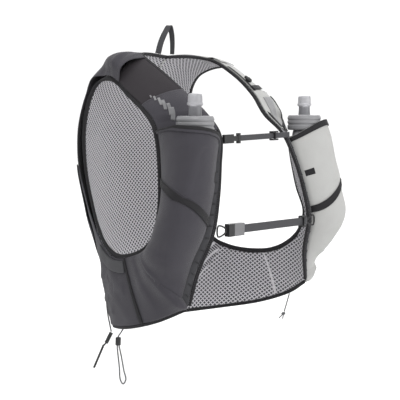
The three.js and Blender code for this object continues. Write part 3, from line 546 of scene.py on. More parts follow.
def spacer_knit(name, slot, colour, hole, wide=6.4, high=7.6):
    """Padded spacer mesh: a lattice of dark diamond holes in a light knit."""
    material, make, shader = finish_tree(name)
    scaled, u, v = cloth_axes(make)
    across, along = sums(make, "DIVIDE", v, wide), sums(make, "DIVIDE", u, high)
    slants = [sums(make, "PINGPONG", sums(make, way, across, along), 0.5) for way in ("ADD", "SUBTRACT")]
    opening = make("MapRange", {"interpolation_type": "SMOOTHSTEP"}, Value=sums(make, "MINIMUM", *slants),
                   From_Min=0.12, From_Max=0.2)
    grain = noise_at(make, scaled, 2.5, 1.0)
    drift = noise_at(make, scaled, 0.04, 2.0)
    shade = sums(make, "MULTIPLY_ADD", drift, 0.5, sums(make, "MULTIPLY", grain, 0.5))
    knit = colour_between(make, shade, toned(colour, 0.86), toned(colour, 1.1))
    mixed = make("Mix", {"data_type": "RGBA"}, Factor=opening).node
    low, high = (next(s for s in mixed.inputs if s.name == name and s.type == "RGBA") for name in "AB")
    material.node_tree.links.new(knit, low)
    high.default_value = (*hole, 1)
    tone = next(s for s in mixed.outputs if s.type == "RGBA")
    height = sums(make, "MULTIPLY_ADD", opening, -1.0, sums(make, "MULTIPLY", grain, 0.2))
    cover(make, shader, tone, height, 0.6, 0.9, 0.0008,
          **{"Sheen Weight": 0.2, "Sheen Roughness": 0.5, "Specular IOR Level": 0.2})
    return material, slot


def ribbed_tape(name, slot, colour, rib=1.1, bump=0.35, sheen=0.15):
    """Woven tape and webbing: ribs along it, crossed by fine picks."""
    material, make, shader = finish_tree(name)
    scaled, u, v = cloth_axes(make)
    height = sums(make, "MULTIPLY_ADD", waves_of(make, u, rib * 0.6), 0.4, waves_of(make, v, rib))
    shade = sums(make, "MULTIPLY_ADD", height, 0.15, noise_at(make, scaled, 1.2, 3.0, 0.7))
    tone = colour_between(make, shade, toned(colour, 0.8), toned(colour, 1.25), 0.2, 0.85)
    cover(make, shader, tone, height, bump, 0.75,
          **{"Sheen Weight": sheen, "Sheen Roughness": 0.5, "Specular IOR Level": 0.3})
    return material, slot


def moulded(name, slot, colour, roughness=0.4, grain_mm=0.6, transmission=0.0, subsurface=0.0):
    """Moulded plastic: an even colour with slight marks, and a fine grain in its gloss."""
    material, make, shader = finish_tree(name)
    at = own_mm(make)
    grain = noise_at(make, at, 1.0 / grain_mm, 3.0, 0.6)
    shade = sums(make, "MULTIPLY_ADD", grain, 0.3, sums(make, "MULTIPLY", noise_at(make, at, 0.08, 2.0), 0.7))
    tone = colour_between(make, shade, toned(colour, 0.88), toned(colour, 1.1))
    rough = make("MapRange", None, Value=grain, To_Min=roughness - 0.06, To_Max=roughness + 0.1)
    cover(make, shader, tone, grain, 0.12, rough,
          **{"Transmission Weight": transmission, "Subsurface Weight": subsurface, "IOR": 1.45,
             "Subsurface Radius": (0.004, 0.004, 0.004)})
    return material, slot


def silicone(name, slot, shaded_foot, mouth):
    """Clear silicone, painted greyer below the flange as shade and paler, streaked, above it as highlight."""
    material, make, shader = finish_tree(name)
    _, u, v = cloth_axes(make)
    # Painted light: the lower part is darker as shade under the flange, and the top is paler with streaks as
    # a highlight.
    highlight_streaks = noise_at(make, own_mm(make), 0.5, 3.0, 0.7)
    upward = make("MapRange", {"interpolation_type": "SMOOTHSTEP"}, Value=v, From_Min=11.0, From_Max=14.0)
    upward = sums(make, "MULTIPLY_ADD", sums(make, "SUBTRACT", highlight_streaks, 0.5), 0.7, upward)
    make.feed(shader, {
        "Base Color": colour_between(make, upward, shaded_foot, mouth), "Roughness": 0.28,
        "Transmission Weight": 0.45, "Subsurface Weight": 0.15, "IOR": 1.42,
        "Subsurface Radius": (0.004, 0.004, 0.004)})
    return material, slot


charcoal_cloth = woven("charcoal_cloth", "charcoal_fabric", (0.036, 0.034, 0.041), sheen=0.10)
light_cloth = woven("light_cloth", "light_fabric", (0.36, 0.36, 0.352), bump=0.2, mottle=0.05, sheen=0.06)
dark_lining = woven("dark_lining", "dark_fabric", (0.019, 0.016, 0.019), thread=0.8, bump=0.15, sheen=0.06)
grey_knit = woven("grey_knit", "light_fabric", (0.20, 0.20, 0.205), thread=0.9, bump=0.3)
pale_tape = woven("pale_tape", "spacer_mesh", (0.50, 0.49, 0.51), thread=0.7)
mesh_knit = spacer_knit("spacer_knit", "spacer_mesh", (0.50, 0.49, 0.515), (0.055, 0.054, 0.06))
dark_binding = ribbed_tape("dark_binding", "binding", (0.008, 0.0075, 0.009), rib=0.9, sheen=0.03)
dark_webbing = (dark_binding[0], "webbing")
grey_webbing = ribbed_tape("grey_webbing", "webbing", (0.042, 0.042, 0.046), rib=1.3, sheen=0.06)
cord_braid = ribbed_tape("cord_braid", "cord", (0.10, 0.10, 0.105), rib=0.8, bump=0.6)
dark_plastic = moulded("dark_plastic", "hardware", (0.012, 0.012, 0.013), roughness=0.42)
grey_plastic = moulded("grey_plastic", "buckle_grey", (0.14, 0.14, 0.145))
cap_plastic = moulded("cap_plastic", "flask_cap", (0.20, 0.20, 0.208), roughness=0.36, subsurface=0.1)
# The valve's two colours are painted shade below the flange and a painted highlight above it.
valve_silicone = silicone("valve_silicone", "bite_valve", (0.22, 0.22, 0.235), (0.47, 0.47, 0.49))
flask_film = moulded(
    "flask_film", "flask_film", (0.42, 0.42, 0.44), roughness=0.25, grain_mm=3, transmission=0.3)
reflective = moulded("reflective_print", "charcoal_fabric", (0.13, 0.13, 0.135), roughness=0.35, grain_mm=0.4)
dark_thread, pale_thread, black_thread = (
    moulded(name + "_thread", None, colour, roughness=0.6, grain_mm=0.3)[0] for name, colour in (
        ("dark", (0.055, 0.053, 0.06)), ("pale", (0.24, 0.24, 0.235)), ("black", (0.016, 0.016, 0.018))))
CLOTH = {"left": light_cloth, "right": charcoal_cloth}
print("finishes:", len(bpy.data.materials))

# %% [markdown]
# ## Free cords
# Three thin elastic cords hang from the hem. The drawcord leaves the hem on the right, runs through its
# lock, makes a loop and goes back into the lock. The pull cord hangs from the side and ends in a moulded
# pull. A short cord at the left corner ends in a knot. Each is a tube of fixed thickness on a smooth path.

# %% Tubes on smooth paths
CORD_DIAMETER = 2.0


def smooth_path(points, per_span=6):
    points = np.array(points, float)
    return catmull_rom(points, False, np.linspace(0, 1, (len(points) - 1) * per_span + 1))


def frames_along(path, closed=False):
    """Side and up directions along a path, carried from one point to the next without a twist."""
    tangent = unit(np.roll(path, -1, 0) - np.roll(path, 1, 0) if closed else np.gradient(path, axis=0))
    ups, last = [], np.array((0.3, -0.8, 0.5))
    for t in tangent:
        last = square_to(last, t)
        ups.append(last)
    return np.cross(tangent, ups), np.array(ups)


def swept(name, centres, wides, ups, section, closed=False):
    """A solid swept along centres; section holds (wide, up) offsets in millimetres, in order round it."""
    points = centres[:, None] + wides[:, None] * section[:, :1] + ups[:, None] * section[:, 1:]
    points = points.reshape(-1, 3)
    count, sides = len(centres), len(section)
    around = run_along(section)
    uvs = np.stack(np.broadcast_arrays(run_along(centres)[:, None], around[None]), -1).reshape(-1, 2)
    faces = []
    for i in range(count if closed else count - 1):
        k = (i + 1) % count
        for j in range(sides):
            m = (j + 1) % sides
            faces.append([i * sides + j, i * sides + m, k * sides + m, k * sides + j])
    if not closed:
        faces.append(list(range(sides))[::-1])
        faces.append([(count - 1) * sides + j for j in range(sides)])
    volume = sum(
        points[f[0]] @ np.cross(points[f[i]], points[f[i + 1]]) for f in faces for i in range(1, len(f) - 1))
    return cloth_object(name, points, [f[::-1] for f in faces] if volume < 0 else faces, uvs)


def round_section(width, thickness, sides=14, power=2.0):
    """A closed curve between an ellipse (power 2) and a rectangle with soft corners (power 5 and more)."""
    angle = np.arange(sides) / sides * 2 * math.pi
    c, s = np.cos(angle), np.sin(angle)
    shape = np.stack([np.sign(c) * abs(c) ** (2 / power), np.sign(s) * abs(s) ** (2 / power)], -1)
    return shape * (width / 2, thickness / 2)


def cord_tube(name, path, diameter=CORD_DIAMETER):
    return swept(name, path, *frames_along(path), round_section(diameter, diameter, 12))


# %% The three cords
HEM_CORD = [(-139.3, -2.1, -377.6), (-134.1, 8.4, -386), (-127.8, 19.2, -394)]
DRAWCORD = [
    (-128.9, 20.4, -406.6), (-129.3, 18.5, -421), (-129.5, 15.8, -438), (-130, 13.7, -455),
    (-127.8, 10.3, -461.3), (-124.8, 7.7, -455.3), (-125.7, 10.6, -442.3), (-126.7, 14.2, -423),
    (-127.1, 18.6, -407),
]
PULL_CORD = [
    (-137.3, 32.8, -336.1), (-137.2, 32.6, -347.9), (-136.2, 31.5, -361.9), (-134, 29.7, -377.9),
    (-132.8, 28.4, -386.9),
]
KNOT_CORD = [(148.5, -84, -360), (143, -85, -368), (137, -85.5, -378), (132.8, -85.5, -386.5)]
# Stops, far end, CAD nodes, and the pieces that hang on the cord.
CORDS = {
    "drawcord": (HEM_CORD + DRAWCORD, "fitting", ("drawcord", "hem_cord"), ["drawcord_lock_moulded"]),
    "pull_cord": (PULL_CORD, "fitting", ("pull_cord",), ["pull_tab_moulded"]),
    "knotted_cord": (
        KNOT_CORD, "knot", ("knotted_cord",), ["cord_knot", "cord_knot_end_1", "cord_knot_end_2"]),
}
cord_pieces = {}
for name, (stops, _, nodes, _) in CORDS.items():
    path = smooth_path(stops)
    cord_pieces[name] = (put_on(cord_tube(name + "_braid", path), cord_braid, *nodes), path)
    print(name, "is", round(run_along(path)[-1]), "mm long")

# %% [markdown]
# ## Base panels
# The vest's body is padded spacer mesh, 3 mm thick, cut as a shoulder strap, a front panel and a side wing
# on each half, and one back panel. They meet edge to edge at seams. The lattice of the mesh runs level
# round the body and upright up the back.

# %% Layers and seams
PANEL_THICKNESS, FABRIC_THICKNESS = 3.0, 1.2
BINDING_WIDTH, BINDING_THICKNESS, EDGE_TAPE_WIDTH = 7.0, 4.2, 5.0
WEBBING_WIDTH, WEBBING_THICKNESS = 6.0, 1.5
SEAM_GAP, LAYER_GAP = 0.35, 0.95
PANEL_EDGE = BINDING_WIDTH + 0.7
SEAM_STRAP, SEAM_SIDE, SEAM_BACK, SEAM_YOKE, SEAM_EASE = 3.6, 10.45, 13.2, 20.6, 0.003
BODY_RADIUS, BACK_HALF_WIDTH = 140.0, 130.0


def one(side, a):
    return np.ones_like(a)


def flat_rise(height=0.0):
    return lambda a, t, v: height


def between(start, end):
    return lambda u, v: mix(start, end, u)


def round_map(p):
    """Millimetres round the body and upward, for the panels at the front and the sides."""
    return np.stack([np.arctan2(p[:, 0], p[:, 1]) * BODY_RADIUS, p[:, 2]], -1)


def back_map(p):
    """Millimetres across and up the back, which leans forward towards the neck and turns at its sides."""
    return np.stack([p[:, 0] * (1 + 0.25 * (p[:, 0] / BACK_HALF_WIDTH) ** 2), p[:, 2] - 0.41 * p[:, 1]], -1)


panel_low = from_armhole(PANEL_EDGE)
BASE_PANELS = {
    "shoulder_strap": (SEAM_YOKE - COUNT, SEAM_STRAP, 70, 24, None),
    "front_panel": (SEAM_STRAP, SEAM_SIDE, 110, 30, round_map),
    "side_wing": (SEAM_SIDE, SEAM_BACK, 44, 30, round_map),
}
BACK_RUNS = ((SEAM_BACK + SEAM_EASE, SPINE_HEM, 14), (SPINE_HEM, NAPE, 90), (NAPE, SEAM_YOKE - SEAM_EASE, 26))
back_cuts = []
for half, side in SIDES.items():
    for name, (start, end, rows, columns, cloth_map) in BASE_PANELS.items():
        cut = patch(side, between(start + SEAM_EASE, end - SEAM_EASE), rows, columns, panel_low, one,
                    flat_rise(), cloth_map=cloth_map)
        worn(f"{name}_{half}", "knit", [cut], PANEL_THICKNESS, mesh_knit)
    back_cuts += [patch(side, between(start, end), rows, 40, panel_low, one, flat_rise(), cloth_map=back_map)
                  for start, end, rows in BACK_RUNS]
worn("back_panel", "knit", back_cuts, PANEL_THICKNESS, mesh_knit)
print("base panels:", 2 * len(BASE_PANELS) + 1)

# %% [markdown]
# ## Bindings
# A dark elastic tape is folded over every raw edge. Its section is a flat oval that wraps the edge of the
# panel, swept round each armhole and along the front edges, the hem and the neck.


# %% Armhole and edge bindings
def armhole_binding(half, side, steps=220):
    a = np.arange(steps) / steps * COUNT
    t = BINDING_WIDTH / chord(side, a)[2]
    drop = (PANEL_THICKNESS - BINDING_THICKNESS) / 2
    inner, outer = surf(side, a, 0.0, drop), surf(side, a, t, drop)
    ups = unit(surf(side, a, 0.0, drop + BINDING_THICKNESS) - inner)
    centres = (inner + outer) / 2 + ups * BINDING_THICKNESS / 2
    section = round_section(BINDING_WIDTH, BINDING_THICKNESS, 18, 3.2)
    made = swept(f"armhole_binding_{half}_tape", centres, unit(outer - inner), ups, section, closed=True)
    return put_on(made, dark_binding, f"armhole_binding_{half}")


def edge_line(stops, offset=2 * SEAM_GAP + EDGE_TAPE_WIDTH / 2, height=PANEL_THICKNESS / 2):
    """Centres, outward and upward directions of a tape outside the outer edge, for (side, a) stops."""
    sides, a = np.array(stops, float).T
    path, ups, inside = np.zeros((3, len(a), 3))
    for side in SIDES.values():
        here = sides == side
        if here.any():
            path[here], inside[here] = surf(side, a[here], 1.0), surf(side, a[here], 0.9)
            ups[here] = surf_normal(side, a[here], 0.999)
    ends = np.vstack([path[:1], path, path[-1:]])
    along = unit(ends[2:] - ends[:-2])
    ups = square_to(ups, along)
    out = np.cross(along, ups)
    out *= np.sign((out * (path - inside)).sum(1, keepdims=True))
    return path + out * offset + ups * height, out, ups


def edge_binding(name, stops):
    section = round_section(EDGE_TAPE_WIDTH, BINDING_THICKNESS, 16, 3.2)
    return put_on(swept(name + "_tape", *edge_line(stops), section), dark_binding, name)


def stops_from(side, first, last, steps):
    return [(side, mix(first, last, i / steps)) for i in range(steps + 1)]


def hem_stops(margin, steps):
    corner = FRONT_CORNER + margin
    return stops_from(-1, corner, SPINE_HEM, steps) + stops_from(1, SPINE_HEM, corner, steps)[1:]


NECK_STOPS = stops_from(-1, COUNT, NAPE, 40) + stops_from(1, NAPE, COUNT, 40)[1:]
for half, side in SIDES.items():
    armhole_binding(half, side)
    edge_binding(f"front_binding_{half}", stops_from(side, 0.03, FRONT_CORNER - 0.04, 130))
edge_binding("hem_binding", hem_stops(0.04, 90))
edge_binding("neck_binding", NECK_STOPS)
print("bindings:", len([o for o in bpy.data.objects if "_binding" in o.name and o.name.endswith("_tape")]))

# %% [markdown]
# ## Back and shoulders
# The back is a filled compartment under one smooth shell, with an open stretch pocket over its lower half.
# A yoke crosses the shoulder blades, and its cloth runs on over each shoulder as a drape that ends in a
# free edge. Heights over the body are shares of the same fill tables as in the part.

# %% Heights of the filled back
BACK_POCKET_BULGE, DRAPE_LIFT, YOKE_LOW, DRAPE_END, POCKET_TOP = 26.0, 2.1, 18.3, 22.2, 16.3
SKIN_RISE = PANEL_THICKNESS + LAYER_GAP
skin_low = from_armhole(BINDING_WIDTH - 0.8)
skin_high = from_outer(reading((8.9, -1.6), (9.3, -0.3), (SPINE_HEM, -0.3), (NAPE, -1.6)))
shell_fill = reading((SEAM_BACK + 0.1, 0), (14, 0.2), (15, 0.5), (16.5, 0.92), (18.3, 0.85))
yoke_fill = reading((YOKE_LOW, 0.85), (19.5, 0.75), (21, 0.7), (DRAPE_END, 0.45))
pocket_fill = reading((SPINE_HEM, 0), (15, 0.8), (POCKET_TOP, 1))
neck_margin = reading((NAPE, 0), (NAPE + 0.5, -1.6))


def hump(v, power):
    return np.sin(math.pi * np.clip(v, 0, 1)) ** power


def shell_rise(a, t, v=None):
    return SKIN_RISE + BACK_POCKET_BULGE * shell_fill(a) * hump(0.03 + t * 0.47, 0.6)


def over_cover(a):
    return DRAPE_LIFT * smooth_step((a - 21) / 0.6)


def yoke_rise(side):
    """Over the left shoulder, which lies flatter, the cloth is less full."""

    def rise(a, t, v=None):
        neck_share = smooth_step((a - YOKE_LOW) / (NAPE - YOKE_LOW))
        across = mix(hump(0.03 + t * 0.47, 0.6), hump(0.12 + 0.88 * t, 1.1) * (1.1 - 0.45 * t), neck_share)
        fullness = mix(1, 0.3, smooth_step((a - NAPE) / 2.3)) if side > 0 else 1.0
        return SKIN_RISE + over_cover(a) + BACK_POCKET_BULGE * fullness * yoke_fill(a) * across

    return rise


def pocket_rise(a, t, v=None):
    return shell_rise(a, t) + FABRIC_THICKNESS + LAYER_GAP + 6 * pocket_fill(a) * hump(t * 0.5, 1)


# %% [markdown]
# Cloth never lies perfectly smooth. `creases` adds soft ridges and hollows along named lines on the ring,
# each with its own width and height, and a slow drift between them. Heights are held so that a fold never
# goes down into the layer below.


# %% Creases along named lines
def drift(points, size, seed):
    """Smooth waves of a few millimetres' length, the same in every run."""
    rng = np.random.default_rng(seed)
    total = np.zeros(len(points))
    for _ in range(14):
        way = unit(rng.normal(size=3))
        total += np.sin(points @ way * (2 * math.pi / (size * rng.uniform(0.7, 1.7))) + rng.uniform(0, 6.28))
    return total / 14**0.5


def creases(rows, floor=-0.5, waves=(0.0, 40.0, 1)):
    """Rows of (a0, t0, a1, t1, width, height); negative heights are hollows; waves: height, size and seed."""

    def height(side, a, t, u, v):
        base = surf(side, a, t)
        total = waves[0] * drift(base, *waves[1:])
        steps = np.linspace(0, 1, 25)
        for a0, t0, a1, t1, width, rise in rows:
            line = surf(side, mix(a0, a1, steps), mix(t0, t1, steps))
            gap, end = np.full(len(base), 1e9), np.zeros(len(base))
            for k, (p, q) in enumerate(zip(line[:-1], line[1:])):
                f = np.clip(((base - p) @ (q - p)) / ((q - p) @ (q - p)), 0, 1)
                d = np.linalg.norm(base - (p + f[:, None] * (q - p)), axis=1)
                gap, end = np.where(d < gap, d, gap), np.where(d < gap, (k + f) / 24, end)
            total = total + rise * np.exp(-((gap / width) ** 2)) * smooth_step(np.minimum(end, 1 - end) * 5)
        edge = smooth_step(np.minimum(np.minimum(u, 1 - u), np.minimum(v, 1 - v)) * 8)
        return np.maximum(total, floor) * edge

    return height


def drape_fall(side, a, t, u, v):
    """The right drape falls to the strap beside the armhole, the flatter left one all along its free edge."""
    standing = yoke_rise(side)(a, t) - SKIN_RISE - over_cover(a)
    to_edge = smooth_step((a - 20.7) / 0.9)
    if side > 0:
        return -standing * 0.92 * to_edge
    wave = 0.9 * np.sin(a * 9.0 + v * 7.0) * smooth_step((v - 0.2) * 4) * to_edge
    return wave - standing * 0.9 * (1 - smooth_step(v / 0.3)) * smooth_step((a - NAPE) / 1.2)


# %% Back shell, stretch pocket, yoke and drapes
BACK_FOLDS = [(14.2, 0.75, 15.4, 0.25, 9, 2.5), (14.8, 0.9, 16.2, 0.35, 12, 1.8)]
shell_cuts, pocket_cuts, yoke_cuts = [], [], []
for half, side in SIDES.items():
    folds = creases(BACK_FOLDS, waves=(0.5, 60, 3)) if side < 0 else None
    shell_cuts += [
        patch(side, between(SEAM_BACK + SEAM_EASE, SPINE_HEM), 16, 44, skin_low, one, shell_rise),
        patch(side, between(SPINE_HEM, YOKE_LOW - SEAM_EASE), 80, 44, skin_low, one, shell_rise, folds),
    ]
    pocket_cuts.append(patch(
        side, between(SPINE_HEM + 0.1, POCKET_TOP), 56, 44, from_armhole(PANEL_EDGE + 22), one, pocket_rise))
    yoke_cuts += [
        patch(side, between(YOKE_LOW + SEAM_EASE, NAPE), 18, 44, skin_low, one, yoke_rise(side)),
        patch(side, between(NAPE, SEAM_YOKE - SEAM_EASE), 30, 44, skin_low, from_outer(neck_margin),
              yoke_rise(side), drape_fall),
    ]
    drape = patch(side, between(SEAM_YOKE + SEAM_EASE, DRAPE_END), 60, 60, skin_low, skin_high,
                  yoke_rise(side), drape_fall)
    worn(f"shoulder_drape_{half}", "cloth", [drape], FABRIC_THICKNESS, CLOTH[half])
for node, cuts in (("back_shell", shell_cuts), ("back_pocket", pocket_cuts), ("yoke", yoke_cuts)):
    worn(node, "cloth", cuts, FABRIC_THICKNESS, charcoal_cloth)
print("back made")

# %% [markdown]
# ## Front of the straps, flask pockets and sides
# A smooth cover and a small pocket lie on each strap. Below them the flask pocket stands open at its hem,
# a dark band crosses it, and a lower pocket runs from the band to the hem. The right half is charcoal and
# the left half light grey. The webbing down the front edge grows wider towards the hem.

# %% Heights of the front pockets
FLASK_POCKET_BULGE, STRAP_POCKET_BULGE, POUCH_STEP = 57.0, 5.0, 1.4
COVER_START, COVER_END, STRAP_POCKET_END, BAND_HALF = 21.75 - COUNT, 1.9, 3.8, 0.1
TRIM_LIFT = POUCH_STEP + 0.55
strap_fill = reading((COVER_END, 0.6), (2.4, 1), (2.8, 0.8), (3.2, 0))
flask_fill = reading(
    (3.5, 1.02), (4.4, 1.03), (5.8, 1), (6.8, 0.92), (7.8, 0.74), (8.8, 0.46), (9.7, 0.18), (SEAM_SIDE, 0.02))
WEBBING_EDGE = {
    1: reading((5.5, WEBBING_WIDTH + 2.5), (9, WEBBING_WIDTH + 4)),
    -1: reading((5.5, WEBBING_WIDTH), (7.6, WEBBING_WIDTH + 4), (9, WEBBING_WIDTH + 5)),
}
beside_webbing, along_hem = reading((8.92, 1), (9, 0)), reading((9, -1.6), (9.3, -0.3))


def pocket_high(side, a):
    """The pocket cloth stops at the webbing, and below the webbing it runs on to the hem's binding."""
    return from_outer(mix(along_hem(a), WEBBING_EDGE[side](a) + 0.3, beside_webbing(a)))(side, a)


def mouth_at(side, v):
    """The right mouth is drawn up beside the armhole, and the left one dips towards the front edge."""
    if side < 0:
        return 3.56 + 0.72 * np.sin(math.pi / 2 * np.asarray(v) ** 0.6)
    return 4.06 + 0.16 * np.asarray(v) ** 4


def band_at(v):
    return mix(5.35, 6.75, np.asarray(v) ** 0.8)


def flask_rise(a, t, v):
    return SKIN_RISE + FLASK_POCKET_BULGE * flask_fill(a) * hump(v, 0.5)


def strap_pocket_rise(a, t, v):
    return SKIN_RISE + STRAP_POCKET_BULGE * strap_fill(a) * hump(v, 0.5)


def seam_rise(a, t, v):
    return flask_rise(np.full_like(a, SEAM_SIDE - 0.05), t, v)


# %% [markdown]
# Folds are named by where they start and end on the ring. The filled pockets pull long upright folds down
# from the hem and from the band, the lower pockets crease on the slant towards the side, and the loose
# lower corner at the back is crumpled across.

# %% Folds of the front and the sides
# Each row: from a, from t, to a, to t, width and height in millimetres.
UPPER_FOLDS = {
    "right": [
        (4.45, 0.30, 5.7, 0.26, 7, -0.9), (4.5, 0.52, 6.1, 0.46, 6, 0.8), (4.5, 0.62, 6.2, 0.58, 5, -0.9),
        (4.6, 0.80, 6.3, 0.78, 5, 1.0), (4.6, 0.87, 6.4, 0.86, 3.5, -0.8), (4.3, 0.14, 5.4, 0.12, 5, 0.7),
    ],
    "left": [
        (4.4, 0.86, 6.5, 0.80, 5, -0.8), (4.5, 0.70, 6.3, 0.62, 7, 0.7), (4.4, 0.45, 6.2, 0.40, 7, -0.7),
    ],
}
LOWER_FOLDS = {
    "right": [
        (6.1, 0.24, 9.4, 0.50, 11, -0.9), (6.4, 0.40, 9.0, 0.66, 10, 0.8), (6.9, 0.60, 9.3, 0.80, 8, -0.9),
        (6.0, 0.12, 8.6, 0.20, 10, 0.7), (8.7, 0.30, 10.2, 0.62, 10, 0.7), (6.8, 0.80, 8.4, 0.90, 4, 0.9),
        (9.2, 0.20, 10.3, 0.45, 8, -0.6),
    ],
    "left": [
        (7.2, 0.97, 8.1, 0.55, 4.5, -1.8), (7.5, 0.98, 8.5, 0.58, 4, 1.6), (7.9, 0.98, 9.0, 0.62, 4.5, -1.7),
        (8.4, 0.97, 9.4, 0.60, 4, 1.5), (8.8, 0.95, 9.8, 0.55, 5, -1.3), (6.7, 0.6, 8.0, 0.35, 8, 1.2),
    ],
}
SIDE_FOLDS = [
    (11.9, 0.35, 12.9, 0.42, 5, 1.5), (12.0, 0.52, 12.9, 0.60, 4, -0.9), (11.8, 0.62, 12.9, 0.72, 5, 1.6),
    (11.5, 0.80, 12.6, 0.88, 4, 1.2), (10.8, 0.50, 11.6, 0.46, 7, 0.9),
]
print("folds:", sum(map(len, (*UPPER_FOLDS.values(), *LOWER_FOLDS.values(), SIDE_FOLDS))))

# %% Cloth of the front, half by half
for half, side in SIDES.items():
    light = side > 0
    cloth = CLOTH[half]

    def on_skin(a_of, rows, columns, rise, folds=None):
        return [patch(side, a_of, rows, columns, skin_low, skin_high, rise, folds)]

    def on_pocket(a_of, rows, columns, folds=None):
        return [patch(side, a_of, rows, columns, skin_low, pocket_high, flask_rise, folds)]

    def below_mouth(end):
        return lambda u, v: mouth_at(side, v) + mix(0, end, u)

    smooth_cover = on_skin(between(COVER_START, COVER_END), 50, 26, flat_rise(SKIN_RISE))
    worn(f"strap_cover_{half}", "cloth", smooth_cover, FABRIC_THICKNESS, cloth if light else dark_lining)
    small = on_skin(
        lambda u, v: mix(COVER_END + 0.02, np.minimum(STRAP_POCKET_END, mouth_at(side, v) - 0.02), u), 46, 60,
        strap_pocket_rise)
    worn(f"strap_pocket_{half}", "cloth", small, FABRIC_THICKNESS, cloth)
    upper = on_pocket(lambda u, v: mix(mouth_at(side, v), band_at(v) - SEAM_EASE, u), 110, 120,
                      creases(UPPER_FOLDS[half], waves=(0.35, 34, 5 + light)))
    worn(f"flask_pocket_{half}", "cloth", upper, POUCH_STEP, cloth)
    lower = on_pocket(lambda u, v: mix(band_at(v) + SEAM_EASE, SEAM_SIDE - SEAM_EASE, u), 150, 120,
                      creases(LOWER_FOLDS[half], waves=(0.5, 38, 8 + light)))
    worn(f"lower_pocket_{half}", "cloth", lower, POUCH_STEP, cloth)
    band = on_pocket(lambda u, v: band_at(v) + mix(-BAND_HALF, BAND_HALF, u), 6, 60)
    worn(f"pocket_band_{half}", "tape", band, FABRIC_THICKNESS, dark_binding, TRIM_LIFT)
    worn(f"flask_pocket_hem_{half}", "tape", on_pocket(below_mouth(0.13), 5, 90), FABRIC_THICKNESS,
         dark_binding if light else charcoal_cloth, TRIM_LIFT)
    if not light:
        edge = cloth_wall("flask_pocket_edge_right", on_pocket(below_mouth(0.07), 3, 90), 0.5,
                          TRIM_LIFT + FABRIC_THICKNESS - 0.1)
        put_on(edge, dark_binding)
    side_cover = on_skin(between(SEAM_SIDE + SEAM_EASE, SEAM_BACK - SEAM_EASE), 90, 90, flat_rise(SKIN_RISE),
                         creases(SIDE_FOLDS, floor=-0.2, waves=(0.6, 30, 21)))
    worn(f"side_cover_{half}", "cloth", side_cover, FABRIC_THICKNESS, cloth)
    seam = on_skin(between(SEAM_SIDE - 0.05, SEAM_SIDE + 0.05), 4, 50, seam_rise)
    worn(f"side_seam_{half}", "tape", seam, FABRIC_THICKNESS, dark_binding, TRIM_LIFT)
    band = patch(side, between(SEAM_SIDE + 0.15, SEAM_BACK - 0.2), 44, 8, from_armhole(BINDING_WIDTH + 2),
                 from_armhole(BINDING_WIDTH + 18), flat_rise(SKIN_RISE + FABRIC_THICKNESS + 0.9))
    worn(f"side_band_{half}", "tape", [band], WEBBING_THICKNESS, grey_webbing)
    strip = patch(side, between(4, 8.98), 150, 8, from_outer(WEBBING_EDGE[side]), from_outer(-1.8),
                  flat_rise(SKIN_RISE))
    worn(f"edge_webbing_{half}", "tape", [strip], WEBBING_THICKNESS, grey_webbing)
    print(half, "front made")

# %% [markdown]
# ## Flasks
# Each soft flask stands in its pocket with its cap out of the top. The cap is turned: a profile spun round
# the neck, with two ridges for the fingers. The bite valve is a second, narrower profile of clear silicone.


# %% Turned caps and valves
def turned(name, centre, profile, sides=72):
    """A lathe solid from (radius, height) pairs in millimetres, closed on its axis at both ends."""
    angle = np.arange(sides) / sides * 2 * math.pi
    rows = len(profile) - 2
    r, z = (np.repeat(profile[1:-1, k], sides) for k in (0, 1))
    around = np.tile(angle, rows)
    tips = [[0, 0, profile[0, 1]], [0, 0, profile[-1, 1]]]
    points = np.vstack([np.stack([r * np.cos(around), r * np.sin(around), z], -1), tips])
    uvs = np.vstack([np.stack([around * r, z], -1), [[0, 0], [0, 0]]])
    faces = []
    for j in range(sides):
        k = (j + 1) % sides
        faces += [[low + j, low + k, low + sides + k, low + sides + j]
                  for low in range(0, (rows - 1) * sides, sides)]
        faces += [[rows * sides, k, j], [rows * sides + 1, (rows - 1) * sides + j, (rows - 1) * sides + k]]
    return cloth_object(name, points + centre, faces, uvs)


def softened(profile, radius=0.5, steps=4):
    """Rounds the corners of a profile."""
    made = [profile[0]]
    for before, here, after in zip(profile[:-2], profile[1:-1], profile[2:]):
        back, on = before - here, after - here
        cut = min(radius, np.linalg.norm(back) * 0.45, np.linalg.norm(on) * 0.45)
        p, q = here + unit(back) * cut, here + unit(on) * cut
        made += [(1 - f) ** 2 * p + 2 * f * (1 - f) * here + f**2 * q for f in np.linspace(0, 1, steps)]
    return np.array([*made, profile[-1]])


CAP_RADIUS, CAP_HEIGHT, VALVE_RADIUS, VALVE_HEIGHT, FLASK_HALF_DEPTH = 25.0, 22.0, 10.5, 29.0, 19.5
CAP_PROFILE = [
    (0, 0), (0.95, 0), (1, 0.1), (1, 0.3), (0.955, 0.35), (0.955, 0.42), (1, 0.47), (1, 0.6), (0.965, 0.64),
    (0.965, 0.69), (1, 0.74), (1, 0.84), (0.93, 1), (0.52, 1), (0.5, 0.97), (0, 0.97),
]
VALVE_PROFILE = [
    (0, 0), (0.84, 0), (0.78, 0.4), (0.8, 0.43), (1, 0.48), (1, 0.56), (0.92, 0.61), (0.9, 0.88),
    (0.82, 0.97), (0.55, 1), (0.3, 1), (0.2, 0.96), (0, 0.96),
]
cap_profile = softened(np.array(CAP_PROFILE) * (CAP_RADIUS, CAP_HEIGHT))
valve_profile = softened(np.array(VALVE_PROFILE) * (VALVE_RADIUS, VALVE_HEIGHT))
for half, side in SIDES.items():
    neck = surf(side, 4.1, 0.55, SKIN_RISE + FLASK_HALF_DEPTH + 5)[0]
    put_on(turned(f"flask_cap_{half}_turned", neck, cap_profile), cap_plastic, f"flask_cap_{half}")
    top = neck + (0, 0, CAP_HEIGHT + SEAM_GAP)
    put_on(turned(f"bite_valve_{half}_turned", top, valve_profile, 48), valve_silicone, f"bite_valve_{half}")
    print(half, "flask neck at", neck.round(1))

